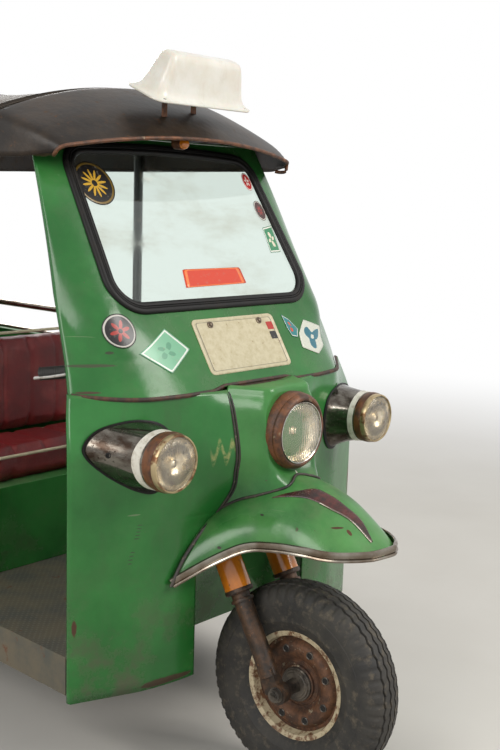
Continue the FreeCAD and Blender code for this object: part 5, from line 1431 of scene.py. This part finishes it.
# Rear body: pressed side panels with flared arches and a flat tail, folded inwards round the top, painted as
# the front is. A rolled tube stiffens the rim and a ribbed rubber strip guards the sides.
rear_finish = green_enamel("rear_green", marks=[
    ((630, 1700, 420), (40, 60, 40), (74, 46, 30)), ((-630, 1700, 420), (40, 60, 40), (74, 46, 30)),
    ((0, 2600, 420), (300, 30, 26), (70, 50, 34)), ((-640, 2420, 760), (20, 90, 4), (120, 138, 100)),
    ((640, 2300, 780), (20, 120, 4), (54, 60, 40)), ((300, 2600, 600), (60, 20, 4), (110, 128, 92)),
])
eased("rear_body", rear_finish, 1.2)
rim_path = np.array([(-630, 1646, 902), (-630, 1700, 902), (-630, 2100, 902), (-630, 2560, 902), (-618, 2582, 902),
                     (-590, 2590, 902), (-300, 2590, 902), (0, 2590, 902)])
rim_path = np.vstack([rim_path, (rim_path * (-1, 1, 1))[::-1][1:]])
piece("rear_rim_tube", [along(smooth_line(rim_path, 200), round_bar(9.0, 14))], trim_finish, "chrome_trim")
strip_shape = np.array([(0, -13), (4, -12), (5, -6), (3.4, -4), (5, -2), (5, 2), (3.4, 4), (5, 6), (4, 12), (0, 13)])
swage_shape = np.array([(-1, -10), (2.5, -5), (3.4, 0), (2.5, 5), (-1, 10)])
strips, swages = [], []
for side in (-1, 1):
    for y0, y1 in ((1655, 1742), (2420, 2590)):
        line = np.linspace((side * 640.0, y0, 660.0), (side * 640.0, y1, 660.0), 12)
        strips.append(along(line, strip_shape * (side, 1)))
    for z in (800, 846):
        line = np.linspace((side * 639.0, 1668, z), (side * 639.0, 2585, z), 60)
        swages.append(along(line, swage_shape * (side, 1)))
piece("side_rub_strips", strips, strip_finish, "seal_rubber")
piece("side_swages", swages, rear_finish, "rear_paint")
tail_back = 2600.0
hatch = pressed(400, 150, 40, ((0, 0), (0, 4), (3, 6), (9, 6), (12, 3)), 0.96, 2.5,
                lambda loop, lift: stood(loop, tail_back + lift, z=640))
piece("tail_hatch", [hatch], rear_finish, "rear_paint", inside=(0, 2300, 640))
catch = [block_grid((-26, 2605, 742), (26, 2611, 768), 2),
         turned([(0, 0), (0, 9), (8, 9), (12, 7), (14, 0)], (0, 2609, 755), (0, 1, 0), 32)]
for x in (-260, 260):
    catch.append(along([(x - 28.0, 2607, 497), (x + 28.0, 2607, 497)], round_bar(5, 12)))
    catch.append(block_grid((x - 24, 2603, 499), (x + 24, 2608, 526), 1.5))
piece("tail_catch_and_hinges", catch, trim_finish, "chrome_trim")
plate = pressed(152, 76, 14.0, ((0, 0),) + rim_steps, 0.95, 2.2,
                lambda loop, lift: stood(loop, tail_back + 4 + lift, z=620), 120)
piece("rear_plate_blank", [plate], plate_finish, "plate_enamel", inside=(0, 2300, 620))


# Tail lamps: a red lens with an amber foot in a bright frame, ribbed inside, one at each side of the tail.
red_finish, point = new_finish("tail_lens_red")
ribs = (axis_of(point, 0) * 160.0).wave() * 0.5 + (axis_of(point, 2) * 160.0).wave() * 0.5
height = axis_of(point, 2)
red = (height < 0.672).over((150, 14, 14), (196, 110, 24))
red = (height < 0.652).over(red, (205, 200, 190))
close_up(point, red, noise(point, 80.0) * 0.1 + 0.12, ribs, 0.0005, Coat_Weight=0.6)
restyle(red_finish, "tail_lamps")
frames = []
for side in (-1, 1):
    frames.append(np.stack([stood(rounded_loop(50 - inset, 70 - inset, 12.0, 96), tail_back + lift, side * 530, 710)
                            for inset, lift in ((-6, 0), (-6, 8), (-3, 12), (0.5, 12), (1, 6))]))
piece("tail_lamp_frames", frames, chrome_finish, "chrome_trim")


# Bumper and side rails: bent steel tubes, chromed long ago, with rubber ends and round foot plates.
restyle(trim_finish, "rear_bumper", "side_rails")
caps, feet = [], []
for side in (-1, 1):
    end = np.array([side * 600.0, 2604.0, 360.0])
    way = np.array([side * 0.8, -0.6, 0.0])
    caps.append(turned([(-14, 24.6), (-4, 25), (1, 24.5), (2, 20), (2, 0)], end - way * 4, way, 48))
    for y in (1668, 2500):
        feet.append(turned([(0, 12), (0, 26), (3, 26), (4, 24), (6, 15), (9, 13.2), (9, 12)],
                            (side * 616, y, 902), (0, 0, 1), 40))
piece("rail_foot_plates", feet, trim_finish, "chrome_trim")
piece("bumper_ends", caps, seal_finish, "seal_rubber")


# Roof: black vinyl cloth stretched over three bows and two side rails, hemmed along its lower edge, with a
# sewn seam over each bow. It sags a little between them.
roof_finish, point = new_finish("roof_cloth")
cloud = noise(point, 5.0, 8.0, 0.7)
brown = cloud.step(0.35, 0.65).over((30, 25, 20), (52, 42, 32))
blotch = noise(point, 22.0, 7.0, 0.72).step(0.5, 0.68)
brown = (blotch * 0.7).over(brown, (76, 60, 44))
dust = axis_of(point.put("NewGeometry", out=1), 2).step(0.4, 1.0) * noise(point, 9.0, 6.0, 0.7).step(0.4, 0.7)
brown = (dust * 0.3).over(brown, (92, 80, 62))
weave = (axis_of(point, 0) * 700.0).wave() * (axis_of(point, 1) * 700.0).wave()
close_up(point, brown, blotch * 0.15 + 0.6, weave * 0.1 + noise(point, 60.0, 4.0) * 0.5, 0.0005,
         Specular_IOR_Level=0.3)


def roof_line(half, foot_z, side_half, side_z, crown_z):
    """Section of the roof from one lower edge to the other: a near upright side, an arc over the crown and a
    rounded shoulder between, by averaging neighbours."""
    rise = crown_z - side_z
    radius = (side_half ** 2 + rise ** 2) / (2 * rise)
    spread = math.asin(side_half / radius)
    angle = np.linspace(-spread, spread, 121)
    arc = np.stack([radius * np.sin(angle), crown_z - radius + radius * np.cos(angle)], -1)
    wall = np.linspace((-half, foot_z), arc[0], 14)[:-1]
    line = np.concatenate([wall, arc, (wall * (-1, 1))[::-1]])
    length = running_length(line)
    even = np.linspace(0, length[-1], 241)
    line = np.stack([np.interp(even, length, line[:, i]) for i in (0, 1)], -1)
    for _ in range(14):
        line[1:-1] = line[1:-1] * 0.5 + (line[:-2] + line[2:]) * 0.25
    pick = np.arange(0, 241, 3)
    return line[pick], pick / 240


bows = (628.0, 1240.0, 2458.0)
stations = np.concatenate([np.linspace(640, 1240, 31), np.linspace(1240, 2470, 61)[1:]])
rows = []
for y in stations:
    foot_half, side_half, side_z, crown_z = (
        np.interp(y, (640, 1240, 2470), sizes)
        for sizes in ((483, 580, 602), (468, 565, 587), (1650, 1642, 1642), (1735, 1745, 1745)))
    line, share = roof_line(foot_half, 1541, side_half, side_z, crown_z)
    between = np.interp(y, bows, (0, 1, 2)) % 1.0
    sag = 7.0 * math.sin(math.pi * between) ** 2 * np.sin(math.pi * share) ** 0.6
    flutter = 2.2 * math.sin(y / 47.0) * np.clip(1 - np.minimum(share, 1 - share) / 0.08, 0, 1)
    rows.append(stood(line + np.stack([np.sign(line[:, 0]) * flutter, -sag], -1), y))
canopy_rows = np.stack(rows)
canopy = piece("roof_cloth_cover", [(canopy_rows, "")], roof_finish, "roof_vinyl", ("roof_canopy",),
               inside=(0, 1500, 1400), wall=2.2)
seam_shape = [(-4, -0.8), (-2.4, 0.9), (2.4, 0.9), (4, -0.8)]
hem_shape = [(-2.4, -5), (2.4, -5), (3.4, 0), (2.4, 5), (-2.4, 5), (-3.4, 0)]
seams = []
for y in (652.0, 1232.0, 1248.0, 2446.0):
    nearest = int(np.argmin(np.abs(stations - y)))
    line = canopy_rows[nearest] + (0, 0, 1.2)
    line[:, 1] = y
    seams.append(along(line[1:-1], seam_shape, (0, 1, 0)))
hems = [along(canopy_rows[:, column] + (0, 0, 4), hem_shape) for column in (0, -1)]
piece("roof_seams", seams, roof_finish, "roof_vinyl")
piece("roof_hems", hems, roof_finish, "roof_vinyl")
restyle(bar_finish, "roof_frame")


# Visor: a steel hood that carries the roof forward over the windscreen, its edge rolled over a wire and
# rusted, curling under at the sides.
visor_rows = np.array([
    # side back, crown back, foot half width, foot height, shoulder half width, shoulder height, crown height
    (450, 398, 420, 1550, 413, 1566, 1605), (480, 440, 438, 1546, 428, 1585, 1640),
    (530, 505, 460, 1541, 446, 1610, 1685), (616, 616, 483, 1541, 468, 1640, 1735),
    (640, 640, 483, 1541, 468, 1645, 1737),
], float)
rows = []
for side_y, crown_y, foot_half, foot_z, side_half, side_z, crown_z in smooth_line(visor_rows, 34):
    line, share = roof_line(foot_half, foot_z, side_half, side_z, crown_z)
    lean = (crown_y - side_y) / (crown_z - side_z)
    rows.append(np.column_stack([line[:, 0], side_y + lean * (line[:, 1] - side_z), line[:, 1]]))
visor = np.stack(rows)
hood_finish = worn("hood_paint", (9.0, 8.0, 0.72), (0.36, 0.64), ((26, 20, 15), (48, 37, 26)),
                   ((34.0, 7.0, 0.72), (0.58, 0.7), 1, (80, 56, 36)), (0, 0.25, 0.42), (50.0, 5.0), 0.0008,
                   Specular_IOR_Level=0.3)
piece("roof_visor_skin", [(visor, "")], hood_finish, "roof_vinyl", ("roof_visor",), inside=(0, 900, 1500),
      wall=2.2)
lip_line = visor[0][1:-1]
under = np.array([(-416.0, 464, 1541), (-408.0, 478, 1538), (-400.0, 490, 1540)])
lip_line = np.vstack([under[::-1] + (0, 4, 9), lip_line, under * (-1, 1, 1)])
piece("visor_lip", [along(smooth_line(lip_line, 260), round_bar(5.0, 16), (0, -0.5, 1))], iron_finish, "rusty_iron")


# Marker lamp: a small amber lamp on the header under the visor.
amber_finish, point = new_finish("amber_lens")
close_up(point, noise(point, 60.0).over((240, 146, 36), (206, 108, 24)), 0.15,
         (axis_of(point, 0) * 240.0).wave(), 0.0004, Coat_Weight=0.5)
marker_at = np.array([9.0, 497.0, 1598.0])
marker_aim = (0, -1, -0.08)
ring = turned([(-6, 17), (18, 17), (22, 16), (22, 14.5), (18, 14.5)], marker_at, marker_aim, 48)
piece("marker_lamp_ring", [ring], iron_finish, "chrome_trim")
lens = turned([(18, 14.5), (26, 14.3), (32, 12), (36, 8), (37, 0)], marker_at, marker_aim, 48)
piece("marker_lamp_lens", [lens], amber_finish, "lamp_glass", inside=marker_at + (0, 40, 0))


# Roof sign: a vacuum-formed box of yellowed white plastic with a flange, screwed to two short struts. Both
# faces are blank.
def on_roof(points):
    """Sign's own across, back and up, pitched forward on the visor."""
    return pitched(np.asarray(points, float), math.radians(23)) + (0, 446, 1712)


sign_finish, point = new_finish("sign_plastic_aged")
cloud = noise(point, 7.0, 6.0, 0.65)
white = cloud.step(0.3, 0.7).over((228, 226, 219), (214, 208, 194))
stain = noise(stretched(point, (26.0, 26.0, 5.0)), 1.0, 6.0, 0.7).step(0.54, 0.74)
white = (stain * 0.22).over(white, (178, 162, 136))
close_up(point, white, stain * 0.3 + 0.28, noise(point, 40.0), 0.0005, Subsurface_Weight=0.08)
sign_rows = [(0, 170, 60, 26), (-1.5, 175, 65, 30), (1, 177, 67, 31), (4, 176, 66, 30), (6, 170, 61, 27),
             (9, 163, 55, 25), (14, 157, 50, 23), (24, 151, 46, 22), (42, 144, 41, 20), (70, 136, 35, 17),
             (92, 129, 29, 14), (101, 126, 25, 12), (107, 121, 20, 10), (110, 114, 14, 8), (110, 60, 7, 4),
             (110, 0.5, 0.2, 0.1)]
rows = []
for height, half, deep, corner in sign_rows:
    loop = rounded_loop(half, deep, min(corner, deep * 0.95), 160)
    rows.append(on_roof(np.column_stack([loop - (0, 5), np.full(160, height)])))
foot = on_roof(np.zeros((160, 3)) - (0, 5, 0))
piece("roof_sign_shell", [np.stack([foot] + rows)], sign_finish, "sign_plastic", ("roof_sign",))
struts, screws = [], []
for side in (-1, 1):
    deep, low_z = (26, 1655) if side < 0 else (56, 1672)
    top = on_roof(np.array([side * 66.0, deep, 0.0]))
    struts.append(block_grid((side * 66 - 9, top[1] - 2, low_z), (side * 66 + 9, top[1] + 2, top[2]), 0.8))
    for x, deep in ((146, -62), (146, 50)):
        at = on_roof(np.array([side * x, deep, 4.5]))
        up = on_roof(np.array([side * x, deep, 5.5])) - at
        screws.append(turned([(0, 0), (0, 5), (1.6, 5), (3, 3.6), (3.4, 0)], at, up, 20))
piece("roof_sign_struts", struts, iron_finish, "sign_plastic")
piece("roof_sign_screws", screws, chrome_finish, "chrome_trim")


# Engine under the driver's seat: a cast block with cooling ribs and a sump held by a bolted flange. It drives
# the rear axle through a short shaft.
cast_finish, point = new_finish("cast_alloy")
oil = noise(point, 9.0, 7.0, 0.7)
grey = oil.step(0.36, 0.64).over((120, 116, 108), (64, 56, 46))
close_up(point, grey, 0.6 - oil * 0.15, noise(point, 180.0, 4.0), 0.0008, Metallic=0.5)
engine = [block_grid((-150, 900, 300), (150, 1180, 596), 14), block_grid((-168, 884, 322), (168, 1196, 334), 3),
          block_grid((-140, 905, 240), (140, 1170, 324), 20)]
engine += [block_grid((-166, 890, z), (166, 1190, z + 5), 1.5) for z in range(350, 584, 26)]
engine += [block_grid((x - 3, 915, 236), (x + 3, 1160, 262), 1.5) for x in range(-125, 150, 25)]
piece("engine_castings", engine, cast_finish, "cast_metal", ("engine_block",))
bolts = [turned([(0, 0), (0, 6), (5, 6), (5, 0)], (side * 154, y, 322), (0, 0, -1), 6)
         for y in range(900, 1200, 46) for side in (-1, 1)]
piece("sump_bolts", bolts, grease_finish, "dark_steel")
restyle(under_finish, "rear_axle", "leaf_springs")
restyle(hammer_finish, "drive_shaft")
soot_finish = worn("exhaust_scale", (28.0, 8.0, 0.72), (0.34, 0.64), ((112, 76, 50), (60, 46, 38)), rough=(0, 0.75),
                   grain=(90.0, 6.0), depth=0.0012, Metallic=0.2)
restyle(soot_finish, "exhaust")
